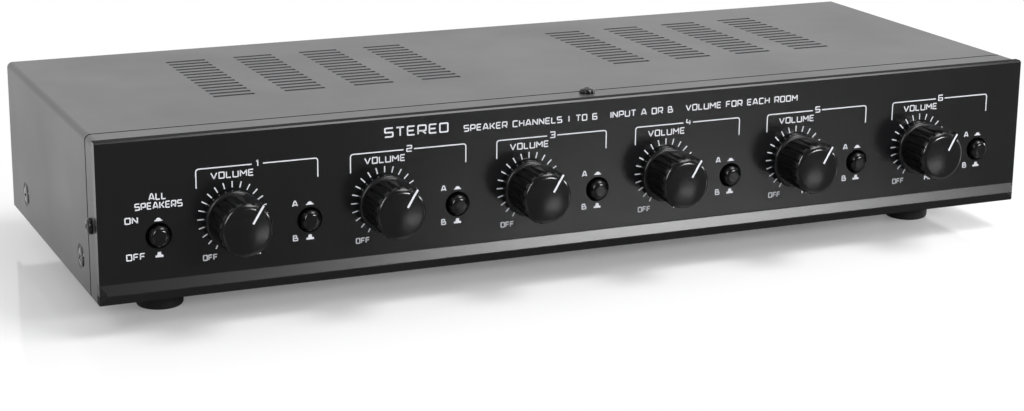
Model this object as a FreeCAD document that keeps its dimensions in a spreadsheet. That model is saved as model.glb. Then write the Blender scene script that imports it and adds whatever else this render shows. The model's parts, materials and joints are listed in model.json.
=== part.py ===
"""Speaker selector switch: six volume knobs, seven push buttons, eight terminal blocks.

Millimetres, +Z up. The origin is on the surface that the feet stand on, under
the middle of the whole box; X runs along the front, Y from front to rear.
Every sub-part is drawn in the case's own frame: y = 0 on the flat of the face
plate, z = 0 on the underside of the case, x = 0 in the middle.
"""

import FreeCAD, Part
import math
import os
import re

import Sketcher

Vector = FreeCAD.Vector

# ---------------------------------------------------------------- driving sizes

SIZES = {
    # face plate
    "face_width": 430.0,
    "face_height": 66.0,
    "face_thick": 4.0,
    "face_bevel": 0.8,
    "chin_height": 8.5,
    "chin_reach": 1.5,
    "chin_nose": 3.9,
    "chin_under": 0.4,
    "chin_round": 0.8,
    "chin_blend": 2.0,
    "chin_end": 3.4,
    # case
    "case_depth": 162.0,
    "floor_clearance": 13.5,
    "frame_depth": 10.4,
    "frame_wall": 1.2,
    "frame_corner": 2.5,
    "seam_gap": 0.8,
    "cover_wall": 1.2,
    "cover_bend": 2.5,
    "cover_lip": 8.5,
    "tab_wide": 30.0,
    "tab_end": 3.8,
    "tab_root": 12.0,
    "nest_gap": 0.2,
    "pan_wall": 1.2,
    "pan_side": 42.0,
    "rear_wall": 1.2,
    "rear_flange": 12.0,
    # vents in the cover
    "slot_long": 18.0,
    "slot_wide": 2.6,
    "slot_pitch": 5.7,
    "slot_front": 61.5,
    "slot_rear": 24.0,
    "column_pitch": 31.3,
    "column_first": 46.4,
    "columns_a_side": 4,
    # places of the controls on the face
    "channel_count": 6,
    "knob_inset": 54.4,
    "knob_high": 30.4,
    "button_aside": 32.4,
    "button_high": 26.4,
    "master_inset": 24.4,
    "end_inset": 21.45,
    # knobs
    "knob_reach": 21.6,
    "knob_gap": 0.8,
    "knob_front_wall": 3.5,
    "skirt_ledge": 1.6,
    "skirt_thick": 3.2,
    "skirt_round": 1.4,
    "grip_base": 20.8,
    "grip_taper": 0.4,
    "grip_round": 2.4,
    "crown_drop": 0.5,
    "flute_count": 18,
    "flute_wide": 1.4,
    "flute_deep": 0.9,
    "flute_stop": 1.0,
    "pointer_over": 0.1,
    "pointer_root": 2.0,
    "pointer_base": 13.0,
    "pointer_tip": 1.8,
    "pointer_neck": 3.4,
    "pointer_point": 1.2,
    "pointer_sink": 0.3,
    "pointer_turn": 35.0,
    # shafts and their bushes
    "shaft_wide": 6.0,
    "shaft_flat": 1.5,
    "shaft_fit": 0.05,
    "shaft_end_room": 0.2,
    "shaft_tail": 16.0,
    "tail_room": 0.5,
    "bush_wall": 1.5,
    "bush_front": 0.6,
    "bush_room": 0.15,
    "nut_flats": 12.0,
    "nut_thick": 2.0,
    "washer_wide": 13.0,
    "washer_thick": 0.5,
    "nut_well_room": 0.6,
    "switch_side": 24.0,
    "switch_round": 2.0,
    # push buttons
    "cap_wide": 8.6,
    "cap_room": 0.6,
    "button_chamfer": 0.5,
    "cap_reach": 3.4,
    "cap_round": 2.4,
    "cap_tail": 4.6,
    "cap_socket": 5.5,
    "plunger_side": 3.5,
    "plunger_fit": 0.05,
    "plunger_tail": 17.0,
    "button_travel": 2.8,
    "push_side": 12.0,
    "push_room": 1.6,
    "push_slack": 0.25,
    "push_end_room": 1.2,
    "push_back": 2.0,
    # boards
    "board_thick": 1.6,
    "board_inset": 10.0,
    "board_high": 39.0,
    "board_low": 9.0,
    "line_board_inset": 19.0,
    "line_board_high": 24.0,
    # terminal blocks on the rear panel
    "terminal_reach": 10.0,
    "block_count": 8,
    "block_inset": 40.0,
    "block_middle": 31.5,
    "block_high": 22.0,
    "block_base": 4.5,
    "way_count": 4,
    "way_pitch": 9.5,
    "barrier_thick": 1.6,
    "neck_inset": 1.8,
    "neck_drop": 4.0,
    "neck_deep": 6.0,
    "window_room": 0.3,
    "clamp_room": 0.35,
    "clamp_thick": 0.8,
    # autoformers
    "former_front": 70.0,
    "former_rear": 52.0,
    "former_aside": 10.8,
    "core_wide": 28.0,
    "core_high": 24.0,
    "core_stack": 14.0,
    "core_limb": 4.0,
    "core_leg": 8.0,
    "coil_overhang": 5.0,
    "coil_room": 0.2,
    "strap_wide": 10.0,
    "strap_thick": 1.0,
    "strap_tab": 8.0,
    # feet
    "foot_top": 21.0,
    "foot_base": 19.4,
    "foot_round": 1.4,
    "foot_well_deep": 8.0,
    "foot_well_room": 0.75,
    "foot_hole_room": 0.15,
    "foot_inset": 33.4,
    "foot_front": 36.5,
    "foot_rear": 24.0,
    # screws
    "side_screw_front": 30.0,
    "side_screw_rear": 29.0,
    "side_screw_high": 12.1,
    "dimple_deep": 0.7,
    "dimple_room": 0.3,
    "dimple_slope": 1.45,
    "bright_head": 8.0,
    "bright_head_high": 1.2,
    "black_head": 6.6,
    "black_head_high": 2.2,
    "black_side_inset": 5.4,
    "black_side_high": 30.6,
    "black_top_inset": 3.4,
    "lip_screw_inset": 65.0,
    "lip_screw_drop": 4.8,
    "screw_shank": 3.0,
    "screw_room": 0.1,
    "screw_grip": 4.5,
    "foot_head": 7.5,
    "foot_head_high": 2.5,
    "foot_shank": 4.0,
    "foot_screw_end": 2.0,
    "clamp_head": 5.8,
    "clamp_head_high": 2.0,
    "clamp_shank_long": 3.0,
}

# Shape of a screw's head: its flat top and its upright rim, as shares of width and height.
HEAD_TOP = 0.6
HEAD_RIM = 0.45

# Formulas that several sub-parts share, in the names above.
FACE_Y = "(knob_reach - case_depth - terminal_reach) / 2"
FRAME_BACK = "(face_thick + frame_depth)"
COVER_FRONT = f"({FRAME_BACK} + seam_gap)"
COVER_LONG = f"(case_depth - {COVER_FRONT})"
PAN_FRONT = "(face_thick + frame_wall + nest_gap)"
PAN_UNDER = "(frame_wall + nest_gap)"
PAN_FLOOR = f"({PAN_UNDER} + pan_wall)"
REAR_OUTSIDE = "(case_depth - cover_wall - nest_gap)"
REAR_INSIDE = f"({REAR_OUTSIDE} - rear_wall)"
HALF_INSIDE = "(face_width / 2 - cover_wall - nest_gap)"
SLOT_ROWS = "(floor((case_depth - slot_front - slot_rear) / slot_pitch) + 1)"
KNOB_FIRST = "(knob_inset - face_width / 2)"
CHANNEL_SPACE = "(face_width - knob_inset - button_aside - end_inset)"
CHANNEL_PITCH = f"({CHANNEL_SPACE} / (channel_count - 1))"
MASTER_ACROSS = "(master_inset - face_width / 2)"
KNOB_BACK = "(knob_gap + skirt_thick)"
SKIRT_WIDE = "(grip_base + 2 * skirt_ledge)"
GRIP_FRONT = "(grip_base - 2 * grip_taper)"
SHAFT_FRONT = "(knob_reach - knob_front_wall)"
SHAFT_BORE = "(shaft_wide + 2 * shaft_fit)"
BUSH_WIDE = "(shaft_wide + 2 * bush_wall)"
BUSH_HOLE = f"({BUSH_WIDE} + 2 * bush_room)"
NUT_CORNERS = "(nut_flats * 2 / sqrt(3))"
NUT_WELL = f"(max(washer_wide; {NUT_CORNERS}) + 2 * nut_well_room)"
BUTTON_HOLE = "(cap_wide + 2 * cap_room)"
PLUNGER_FRONT = "(cap_socket - cap_tail - plunger_fit)"
PUSH_FRONT = "(cap_tail + button_travel + push_room)"
PUSH_WELL_END = "(plunger_tail + button_travel + push_end_room)"
BOARD_FRONT = f"({PUSH_WELL_END} + push_back)"
BLOCK_PITCH = "((face_width - 2 * block_inset) / (block_count - 1))"
BLOCK_WIDE = "(way_pitch * way_count + barrier_thick)"
NECK_HALF_WIDE = f"({BLOCK_WIDE} / 2 - neck_inset)"
NECK_HALF_HIGH = "(block_high / 2 - neck_drop)"
BARRIER_OUT = "(terminal_reach + cover_wall + nest_gap)"
CLAMP_HALF = "((way_pitch - barrier_thick) / 2 - clamp_room)"
SCREW_HOLE = "(screw_shank + 2 * screw_room)"
FOOT_HIGH = f"(floor_clearance + {PAN_UNDER})"
FOOT_HOLE = "(foot_shank + 2 * foot_hole_room)"
SIDE_SCREW_REAR = "(case_depth - side_screw_rear)"
BLACK_SIDE_BACK = f"({FRAME_BACK} - black_side_inset)"
BLACK_TOP_BACK = f"({FRAME_BACK} - black_top_inset)"
LIP_SCREW_ASIDE = "(face_width / 2 - lip_screw_inset)"
LIP_SCREW_SPOTS = (f"-{LIP_SCREW_ASIDE}", "0", LIP_SCREW_ASIDE)

document = FreeCAD.newDocument("speaker_selector_switch")
sheet = document.addObject("Spreadsheet::Sheet", "Sizes")
for row, (alias, number) in enumerate(SIZES.items(), start=1):
    sheet.set(f"A{row}", alias)
    sheet.set(f"B{row}", str(number))
    sheet.setAlias(f"B{row}", alias)
document.recompute()

nodes = []


# --------------------------------------------------------------------- helpers

def formula(text):
    """Write a formula in size names as an expression on the sheet."""
    def on_sheet(match):
        word = match.group(0)
        return f"Sizes.{word}" if word in SIZES else word
    return re.sub(r"[a-z][a-z_]*", on_sheet, str(text))


def measure(text):
    """Return the present number of a formula in size names."""
    return float(sheet.evalExpression(formula(text)))


def bind(thing, **properties):
    """Tie properties to formulas; a double underscore stands for a dot."""
    for name, text in properties.items():
        thing.setExpression(name.replace("__", "."), formula(text))


def place(thing, x="0", y="0", z="0"):
    """Tie a piece's place to formulas in the case's frame."""
    bind(thing, Placement__Base__x=x, Placement__Base__y=f"{FACE_Y} + {y}",
         Placement__Base__z=f"floor_clearance + {z}")


def turn_clockwise(thing, angle):
    """Turn a piece about its own Y axis, clockwise as seen from the front."""
    thing.Placement.Rotation = FreeCAD.Rotation(Vector(0, 1, 0), measure(angle))
    bind(thing, Placement__Rotation__Angle=angle)


def new_body(label, x="0", y="0", z="0"):
    """Start a body at a place in the case's frame."""
    body = document.addObject("PartDesign::Body", label)
    body.Label = label
    place(body, x, y, z)
    return body


def datum(body, role):
    """Find one of the body's own origin planes or axes."""
    return next(item for item in body.Origin.OriginFeatures if item.Role == role)


def new_sketch(body, name, plane, height="0"):
    """Lay an empty sketch on an origin plane, raised along its normal."""
    sketch = body.newObject("Sketcher::SketchObject", f"{body.Label}_{name}")
    sketch.AttachmentSupport = [(datum(body, plane), "")]
    sketch.MapMode = "FlatFace"
    bind(sketch, AttachmentOffset__Base__z=height)
    return sketch


def arc_over_axis(start, end):
    """Give the arc from a rim point to its crown, a point of the horizontal axis."""
    drop = start.x - end.x
    radius = (start.y ** 2 + drop ** 2) / (2 * drop)
    circle = Part.Circle(Vector(end.x + radius, 0, 0), Vector(0, 0, 1), radius)
    return Part.ArcOfCircle(circle, math.pi - math.asin(start.y / radius), math.pi)


def add_outline(sketch, corners, crowned=None):
    """Add a closed outline whose corners are held at formula coordinates.

    The side numbered by crowned is an arc centred on the sketch's horizontal axis.
    """
    spots = [Vector(measure(across), measure(up), 0) for across, up in corners]
    first = sketch.GeometryCount
    count = len(corners)
    for index, start in enumerate(spots):
        end = spots[(index + 1) % count]
        if index == crowned:
            sketch.addGeometry(arc_over_axis(start, end))
            sketch.addConstraint(Sketcher.Constraint("PointOnObject", first + index, 3, -1))
        else:
            sketch.addGeometry(Part.LineSegment(start, end))
    for index in range(count):
        line = first + index
        following = first + (index + 1) % count
        sketch.addConstraint(Sketcher.Constraint("Coincident", line, 2, following, 1))
    for index, (across, up) in enumerate(corners):
        line = first + index
        for kind, text, number in (("DistanceX", across, spots[index].x),
                                   ("DistanceY", up, spots[index].y)):
            held = sketch.addConstraint(Sketcher.Constraint(kind, -1, 1, line, 1, number))
            label = f"{kind}_{line}"
            sketch.renameConstraint(held, label)
            sketch.setExpression(f"Constraints.{label}", formula(text))


def add_circle(sketch, across, up, diameter):
    """Add a circle whose centre and diameter are formulas."""
    middle = Vector(measure(across), measure(up), 0)
    ring = sketch.addGeometry(Part.Circle(middle, Vector(0, 0, 1), measure(diameter) / 2))
    for kind, text, number in (("DistanceX", across, middle.x), ("DistanceY", up, middle.y)):
        held = sketch.addConstraint(Sketcher.Constraint(kind, -1, 1, ring, 3, number))
        label = f"{kind}_{ring}"
        sketch.renameConstraint(held, label)
        sketch.setExpression(f"Constraints.{label}", formula(text))
    held = sketch.addConstraint(Sketcher.Constraint("Diameter", ring, measure(diameter)))
    label = f"Diameter_{ring}"
    sketch.renameConstraint(held, label)
    sketch.setExpression(f"Constraints.{label}", formula(diameter))


def box_corners(left, right, low, high):
    """Return the four corners of an upright rectangle."""
    return [(left, low), (right, low), (right, high), (left, high)]


def outline_sketch(body, name, plane, corners, height="0", crowned=None):
    """Make a sketch that holds one closed outline."""
    sketch = new_sketch(body, name, plane, height)
    add_outline(sketch, corners, crowned)
    return sketch


def circle_sketch(body, name, plane, circles, height="0"):
    """Make a sketch of circles, each given as across, up and diameter."""
    sketch = new_sketch(body, name, plane, height)
    for across, up, diameter in circles:
        add_circle(sketch, across, up, diameter)
    return sketch


def pad(body, sketch, length, reverse=False, midplane=False):
    """Add material along a sketch's normal."""
    feature = body.newObject("PartDesign::Pad", f"{sketch.Name}_pad")
    feature.Profile = sketch
    feature.Reversed = reverse
    feature.Midplane = midplane
    bind(feature, Length=length)
    return feature


def pocket(body, sketch, depth=None, reverse=False):
    """Cut along a sketch's normal, right through both ways if no depth is given."""
    feature = body.newObject("PartDesign::Pocket", f"{sketch.Name}_pocket")
    feature.Profile = sketch
    feature.Reversed = reverse
    if depth is None:
        feature.Type = "ThroughAll"
        feature.Midplane = True
    else:
        bind(feature, Length=depth)
    return feature


def loft(body, first, second):
    """Join two outlines of as many corners with flat-ruled sides."""
    feature = body.newObject("PartDesign::AdditiveLoft", f"{first.Name}_loft")
    feature.Profile = first
    feature.Sections = [second]
    feature.Ruled = True
    return feature


def revolve(body, sketch, axis):
    """Turn a half section once round one of its sketch's axes."""
    feature = body.newObject("PartDesign::Revolution", f"{sketch.Name}_turned")
    feature.Profile = sketch
    feature.ReferenceAxis = (sketch, [axis])
    feature.Angle = 360
    return feature


def groove(body, sketch, axis):
    """Cut a half section once round one of its sketch's axes."""
    feature = body.newObject("PartDesign::Groove", f"{sketch.Name}_groove")
    feature.Profile = sketch
    feature.ReferenceAxis = (sketch, [axis])
    feature.Angle = 360
    return feature


def row_of(body, feature, axis, step, count):
    """Repeat a feature in a straight row."""
    row = body.newObject("PartDesign::LinearPattern", f"{feature.Name}_row")
    row.Originals = [feature]
    row.Direction = (datum(body, axis), [""])
    bind(row, Length=f"{step} * ({count} - 1)", Occurrences=count)
    body.Tip = row
    return row


def ring_of(body, feature, axis, count):
    """Repeat a feature round an axis."""
    ring = body.newObject("PartDesign::PolarPattern", f"{feature.Name}_ring")
    ring.Originals = [feature]
    ring.Axis = (datum(body, axis), [""])
    ring.Angle = 360
    bind(ring, Occurrences=count)
    body.Tip = ring
    return ring


def mirror(body, name):
    """Make a mirror step across the middle of the object."""
    sides = body.newObject("PartDesign::Mirrored", name)
    sides.MirrorPlane = (datum(body, "YZ_Plane"), [""])
    return sides


def repeat(body, feature, steps):
    """Repeat a feature by several pattern steps, each on all that the last one made."""
    every = body.newObject("PartDesign::MultiTransform", f"{feature.Name}_repeated")
    every.Originals = [feature]
    every.Transformations = steps
    body.Tip = every


def edges_where(feature, test):
    """Name the feature's edges that pass a test."""
    return [f"Edge{number}" for number, edge in enumerate(feature.Shape.Edges, start=1)
            if test(edge)]


def dress(body, kind, base, test, size):
    """Fillet or chamfer the edges of a feature that pass a test."""
    document.recompute()
    feature = body.newObject(f"PartDesign::{kind}", f"{base.Name}_{kind.lower()}")
    feature.Base = (base, edges_where(base, test))
    bind(feature, **{"Radius" if kind == "Fillet" else "Size": size})
    return feature


def near(number, text):
    """Tell whether a number equals a formula."""
    return abs(number - measure(text)) < 0.001


def runs_along_x(edge):
    """Tell whether an edge is a straight one along X."""
    return edge.Curve.TypeId == "Part::GeomLine" and edge.BoundBox.XLength > 0.99 * edge.Length


def runs_along_y(edge):
    """Tell whether an edge is a straight one along Y."""
    return edge.Curve.TypeId == "Part::GeomLine" and edge.BoundBox.YLength > 0.99 * edge.Length


def is_circle(edge, diameter):
    """Tell whether an edge is a circle of a diameter."""
    return (not edge.Degenerated and edge.Curve.TypeId == "Part::GeomCircle"
            and near(2 * edge.Curve.Radius, diameter))


def group(label, *sets):
    """Gather copies of finished bodies into one node; a set is a body and its places."""
    copies = []
    for master, places in sets:
        for x, y, z, spin in places:
            copy = document.addObject("App::Link", f"{label}_{len(copies) + 1}")
            copy.LinkedObject = master
            copy.LinkTransform = False
            copy.Placement.Rotation = spin
            place(copy, x, y, z)
            copies.append(copy)
    gathered = document.addObject("Part::Compound", label)
    gathered.Label = label
    gathered.Links = copies
    return gathered


def box_piece(label, x, y, z, width, depth, height):
    """Make a plain board, its low front left corner at a formula place."""
    piece = document.addObject("Part::Box", label)
    piece.Label = label
    place(piece, x, y, z)
    bind(piece, Length=width, Width=depth, Height=height)
    return piece


def keep(piece):
    """List a sub-part as a node of the product."""
    nodes.append(piece)


UPRIGHT = FreeCAD.Rotation()
FACING_LEFT = FreeCAD.Rotation(Vector(0, 0, 1), -90)
FACING_RIGHT = FreeCAD.Rotation(Vector(0, 0, 1), 90)
FACING_REAR = FreeCAD.Rotation(Vector(0, 0, 1), 180)
FACING_UP = FreeCAD.Rotation(Vector(1, 0, 0), -90)
FACING_DOWN = FreeCAD.Rotation(Vector(1, 0, 0), 90)


def knob_across(channel):
    """Return the formula of a knob's place along X."""
    return f"({KNOB_FIRST} + {CHANNEL_PITCH} * {channel})"


def button_across(channel):
    """Return the formula of a button's place along X."""
    return f"({KNOB_FIRST} + button_aside + {CHANNEL_PITCH} * {channel})"


CHANNELS = range(SIZES["channel_count"])
BUTTONS = [("all", MASTER_ACROSS)] + [(str(n + 1), button_across(n)) for n in CHANNELS]
BLOCK_NAMES = ["a", "b"] + [str(n + 1) for n in CHANNELS]


FOOT_SPOTS = [(f"{sign}(face_width / 2 - foot_inset)", back)
              for back in ("foot_front", "(case_depth - foot_rear)") for sign in ("-", "")]


def block_across(index):
    """Return the formula of a terminal block's place along X, input A first from the rear."""
    return f"({BLOCK_PITCH} * ((block_count - 1) / 2 - {index}))"


# ------------------------------------------------------------- case sheet metal

def make_face_plate():
    """Extruded face plate: bevelled top edge, chin that leans out along the foot."""
    body = new_body("face_plate")
    section = outline_sketch(body, "section", "YZ_Plane", [
        ("face_thick", "0"),
        ("face_thick", "face_height"),
        ("face_bevel", "face_height"),
        ("0", "face_height - face_bevel"),
        ("0", "chin_height"),
        ("-chin_reach", "chin_nose"),
        ("chin_under", "0"),
    ])
    bar = pad(body, section, "face_width", midplane=True)
    nose = dress(body, "Fillet", bar,
                 lambda edge: runs_along_x(edge) and near(edge.BoundBox.YMin, "-chin_reach"),
                 "chin_round")
    blend = dress(body, "Fillet", nose,
                  lambda edge: (runs_along_x(edge) and near(edge.BoundBox.ZMin, "chin_height")
                                and near(edge.BoundBox.YMin, "0")),
                  "chin_blend")
    body.Tip = blend
    ends = new_sketch(body, "chin_ends", "XY_Plane")
    for sign in ("-", ""):
        add_outline(ends, [
            (f"{sign}(face_width / 2 - chin_end)", "-chin_reach"),
            (f"{sign}face_width / 2", "0"),
            (f"{sign}face_width / 2", "-chin_reach"),
        ])
    pocket(body, ends, "face_height", reverse=True)
    holes = circle_sketch(body, "channel_holes", "XZ_Plane", [
        (KNOB_FIRST, "knob_high", NUT_WELL),
        (f"{KNOB_FIRST} + button_aside", "button_high", BUTTON_HOLE),
    ])
    row_of(body, pocket(body, holes), "X_Axis", CHANNEL_PITCH, "channel_count")
    master = pocket(body, circle_sketch(body, "master_hole", "XZ_Plane", [
        (MASTER_ACROSS, "button_high", BUTTON_HOLE)]))
    body.Tip = dress(body, "Chamfer", master,
                     lambda edge: (is_circle(edge, BUTTON_HOLE)
                                   and near(edge.BoundBox.YMax, "0")),
                     "button_chamfer")
    keep(body)


def make_front_frame():
    """Folded front tray: a wall behind the face plate and four flanges turned back."""
    body = new_body("front_frame", y="face_thick")
    face = outline_sketch(body, "outline", "XZ_Plane", box_corners(
        "-face_width / 2", "face_width / 2", "0", "face_height"))
    block = pad(body, face, "frame_depth", reverse=True)
    corners = dress(body, "Fillet", block,
                    lambda edge: runs_along_y(edge) and near(edge.BoundBox.ZMin, "face_height"),
                    "frame_corner")
    body.Tip = corners
    document.recompute()
    tray = body.newObject("PartDesign::Thickness", "front_frame_tray")
    open_face = [f"Face{number}" for number, side in enumerate(corners.Shape.Faces, start=1)
                 if near(side.BoundBox.YMin, "frame_depth")]
    tray.Base = (corners, open_face)
    tray.Reversed = True
    bind(tray, Value="frame_wall")
    body.Tip = tray
    holes = circle_sketch(body, "channel_holes", "XZ_Plane", [
        (KNOB_FIRST, "knob_high", BUSH_HOLE),
        (f"{KNOB_FIRST} + button_aside", "button_high", BUTTON_HOLE),
    ])
    row_of(body, pocket(body, holes, "frame_wall * 2"), "X_Axis",
           CHANNEL_PITCH, "channel_count")
    pocket(body, circle_sketch(body, "master_hole", "XZ_Plane", [
        (MASTER_ACROSS, "button_high", BUTTON_HOLE)]), "frame_wall * 2")
    pocket(body, circle_sketch(body, "side_screw_hole", "YZ_Plane", [
        (f"{BLACK_SIDE_BACK} - face_thick", "black_side_high", SCREW_HOLE)]))
    body.Tip = pocket(body, circle_sketch(body, "top_screw_hole", "XY_Plane", [
        ("0", f"{BLACK_TOP_BACK} - face_thick", SCREW_HOLE)], "face_height - frame_wall * 2"),
        "frame_wall * 3", reverse=True)
    keep(body)


def make_top_cover():
    """Bent cover: top, two sides, a lip over the rear panel, vents and screw dimples."""
    body = new_body("top_cover", y=COVER_FRONT)
    half = "face_width / 2"
    section = outline_sketch(body, "section", "XZ_Plane", [
        (f"-{half}", "0"), (f"-{half}", "face_height"),
        (half, "face_height"), (half, "0"),
        (f"{half} - cover_wall", "0"),
        (f"{half} - cover_wall", "face_height - cover_wall"),
        (f"-{half} + cover_wall", "face_height - cover_wall"),
        (f"-{half} + cover_wall", "0"),
    ])
    sheet_metal = pad(body, section, COVER_LONG, reverse=True)
    outer_bend = dress(body, "Fillet", sheet_metal,
                       lambda edge: (runs_along_y(edge)
                                     and near(edge.BoundBox.ZMin, "face_height")),
                       "cover_bend")
    inner_bend = dress(body, "Fillet", outer_bend,
                       lambda edge: (runs_along_y(edge)
                                     and near(edge.BoundBox.ZMin, "face_height - cover_wall")
                                     and near(abs(edge.BoundBox.XMin), f"{half} - cover_wall")),
                       "cover_bend - cover_wall")
    body.Tip = inner_bend
    lip = outline_sketch(body, "lip", "XZ_Plane", box_corners(
        f"-{half} + cover_bend", f"{half} - cover_bend",
        "face_height - cover_lip", "face_height - cover_wall / 2"), f"-{COVER_LONG}")
    pad(body, lip, "cover_wall")
    pocket(body, circle_sketch(body, "lip_holes", "XZ_Plane", [
        (across, "face_height - lip_screw_drop", SCREW_HOLE) for across in LIP_SCREW_SPOTS],
        f"-{COVER_LONG} + cover_wall * 2"), "cover_wall * 3")
    add_front_tab(body)
    add_dimples(body)
    add_vents(body)
    keep(body)


def add_front_tab(body):
    """Weld a tab under the cover's front edge, reaching below the frame's top flange."""
    half = "tab_wide / 2"
    under = "face_height - frame_wall - nest_gap - cover_wall"
    root = outline_sketch(body, "tab_root", "XY_Plane", box_corners(
        f"-{half}", half, "0", "tab_root"), under)
    pad(body, root, "frame_wall + nest_gap + cover_wall / 2")
    screw_spot = f"{BLACK_TOP_BACK} - {COVER_FRONT}"
    tongue = outline_sketch(body, "tab_tongue", "XY_Plane", box_corners(
        f"-{half}", half, f"{screw_spot} - tab_end", "tab_root"), under)
    pad(body, tongue, "cover_wall")
    pocket(body, circle_sketch(body, "tab_hole", "XY_Plane", [
        ("0", screw_spot, SCREW_HOLE)], f"{under} - cover_wall"), "cover_wall * 3", reverse=True)


def add_dimples(body):
    """Press conical seats for four screw heads into the cover's sides."""
    for name, back in (("front", "side_screw_front"), ("rear", SIDE_SCREW_REAR)):
        pocket(body, circle_sketch(body, f"{name}_holes", "YZ_Plane", [
            (f"{back} - {COVER_FRONT}", "side_screw_high", SCREW_HOLE)]))
    half = new_sketch(body, "dimple", "XY_Plane", "side_screw_high")
    bind(half, AttachmentOffset__Base__y=f"side_screw_front - {COVER_FRONT}")
    floor = "bright_head / 2 + dimple_room"
    add_outline(half, [
        ("face_width / 2", "0"), ("face_width / 2", f"{floor} + dimple_slope"),
        ("face_width / 2 - dimple_deep", floor), ("face_width / 2 - dimple_deep", "0"),
    ])
    seat = groove(body, half, "H_Axis")
    pair = body.newObject("PartDesign::LinearPattern", "dimple_pair")
    pair.Direction = (datum(body, "Y_Axis"), [""])
    bind(pair, Length=f"{SIDE_SCREW_REAR} - side_screw_front")
    pair.Occurrences = 2
    repeat(body, seat, [pair, mirror(body, "dimple_sides")])


def add_vents(body):
    """Cut the slots through the cover's top: columns of short slots on both sides."""
    slot = pocket(body, outline_sketch(body, "slot", "XY_Plane", box_corners(
        "column_first - slot_long / 2", "column_first + slot_long / 2",
        f"slot_front - slot_wide / 2 - {COVER_FRONT}",
        f"slot_front + slot_wide / 2 - {COVER_FRONT}"), "face_height / 2"),
        "face_height", reverse=True)
    rows = body.newObject("PartDesign::LinearPattern", "vent_rows")
    rows.Direction = (datum(body, "Y_Axis"), [""])
    bind(rows, Length=f"slot_pitch * ({SLOT_ROWS} - 1)", Occurrences=SLOT_ROWS)
    columns = body.newObject("PartDesign::LinearPattern", "vent_columns")
    columns.Direction = (datum(body, "X_Axis"), [""])
    bind(columns, Length="column_pitch * (columns_a_side - 1)", Occurrences="columns_a_side")
    repeat(body, slot, [rows, columns, mirror(body, "vent_sides")])


def make_base_pan():
    """Folded pan: the floor of the case and two sides inside the cover."""
    body = new_body("base_pan", y=PAN_FRONT, z=PAN_UNDER)
    section = outline_sketch(body, "section", "XZ_Plane", [
        (f"-{HALF_INSIDE}", "0"), (HALF_INSIDE, "0"),
        (HALF_INSIDE, "pan_side"), (f"{HALF_INSIDE} - pan_wall", "pan_side"),
        (f"{HALF_INSIDE} - pan_wall", "pan_wall"), (f"-{HALF_INSIDE} + pan_wall", "pan_wall"),
        (f"-{HALF_INSIDE} + pan_wall", "pan_side"), (f"-{HALF_INSIDE}", "pan_side"),
    ])
    sheet_metal = pad(body, section, f"{REAR_INSIDE} - {PAN_FRONT} - nest_gap", reverse=True)
    body.Tip = dress(body, "Fillet", sheet_metal,
                     lambda edge: (runs_along_y(edge) and near(edge.BoundBox.ZMax, "0")),
                     "frame_corner - frame_wall")
    feet = [(x, f"{y} - {PAN_FRONT}", FOOT_HOLE) for x, y in FOOT_SPOTS]
    pocket(body, circle_sketch(body, "foot_holes", "XY_Plane", feet, "-pan_wall"),
           "pan_wall * 3", reverse=True)
    sides = [(f"{back} - {PAN_FRONT}", f"{up} - {PAN_UNDER}", SCREW_HOLE)
             for back, up in (("side_screw_front", "side_screw_high"),
                              (SIDE_SCREW_REAR, "side_screw_high"),
                              (BLACK_SIDE_BACK, "black_side_high"))]
    body.Tip = pocket(body, circle_sketch(body, "side_holes", "YZ_Plane", sides))
    keep(body)


def make_rear_panel():
    """Rear panel: a wall with a window for each terminal block and two flanges."""
    body = new_body("rear_panel", y=REAR_INSIDE, z=PAN_FLOOR)
    top = f"face_height - cover_wall - nest_gap - {PAN_FLOOR}"
    section = outline_sketch(body, "section", "YZ_Plane", [
        ("-rear_flange", "0"), ("rear_wall", "0"),
        ("rear_wall", top), ("-rear_flange", top),
        ("-rear_flange", f"{top} - rear_wall"), ("0", f"{top} - rear_wall"),
        ("0", "rear_wall"), ("-rear_flange", "rear_wall"),
    ])
    pad(body, section, f"{HALF_INSIDE} * 2 - pan_wall * 2 - nest_gap * 2", midplane=True)
    middle = f"block_middle - {PAN_FLOOR}"
    half_wide = f"({NECK_HALF_WIDE} + window_room)"
    half_high = f"({NECK_HALF_HIGH} + window_room)"
    window = pocket(body, outline_sketch(body, "window", "XZ_Plane", box_corners(
        f"{block_across(0)} - {half_wide}", f"{block_across(0)} + {half_wide}",
        f"{middle} - {half_high}", f"{middle} + {half_high}"), "rear_wall"), "rear_wall * 3")
    row = body.newObject("PartDesign::LinearPattern", "window_row")
    row.Originals = [window]
    row.Direction = (datum(body, "X_Axis"), [""])
    row.Reversed = True
    bind(row, Length=f"{BLOCK_PITCH} * (block_count - 1)", Occurrences="block_count")
    body.Tip = row
    holes = [(across, f"face_height - lip_screw_drop - {PAN_FLOOR}", SCREW_HOLE)
             for across in LIP_SCREW_SPOTS]
    body.Tip = pocket(body, circle_sketch(body, "lip_holes", "XZ_Plane", holes, "rear_wall"),
                      "rear_wall * 3")
    keep(body)


# --------------------------------------------------------------------- controls

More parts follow.
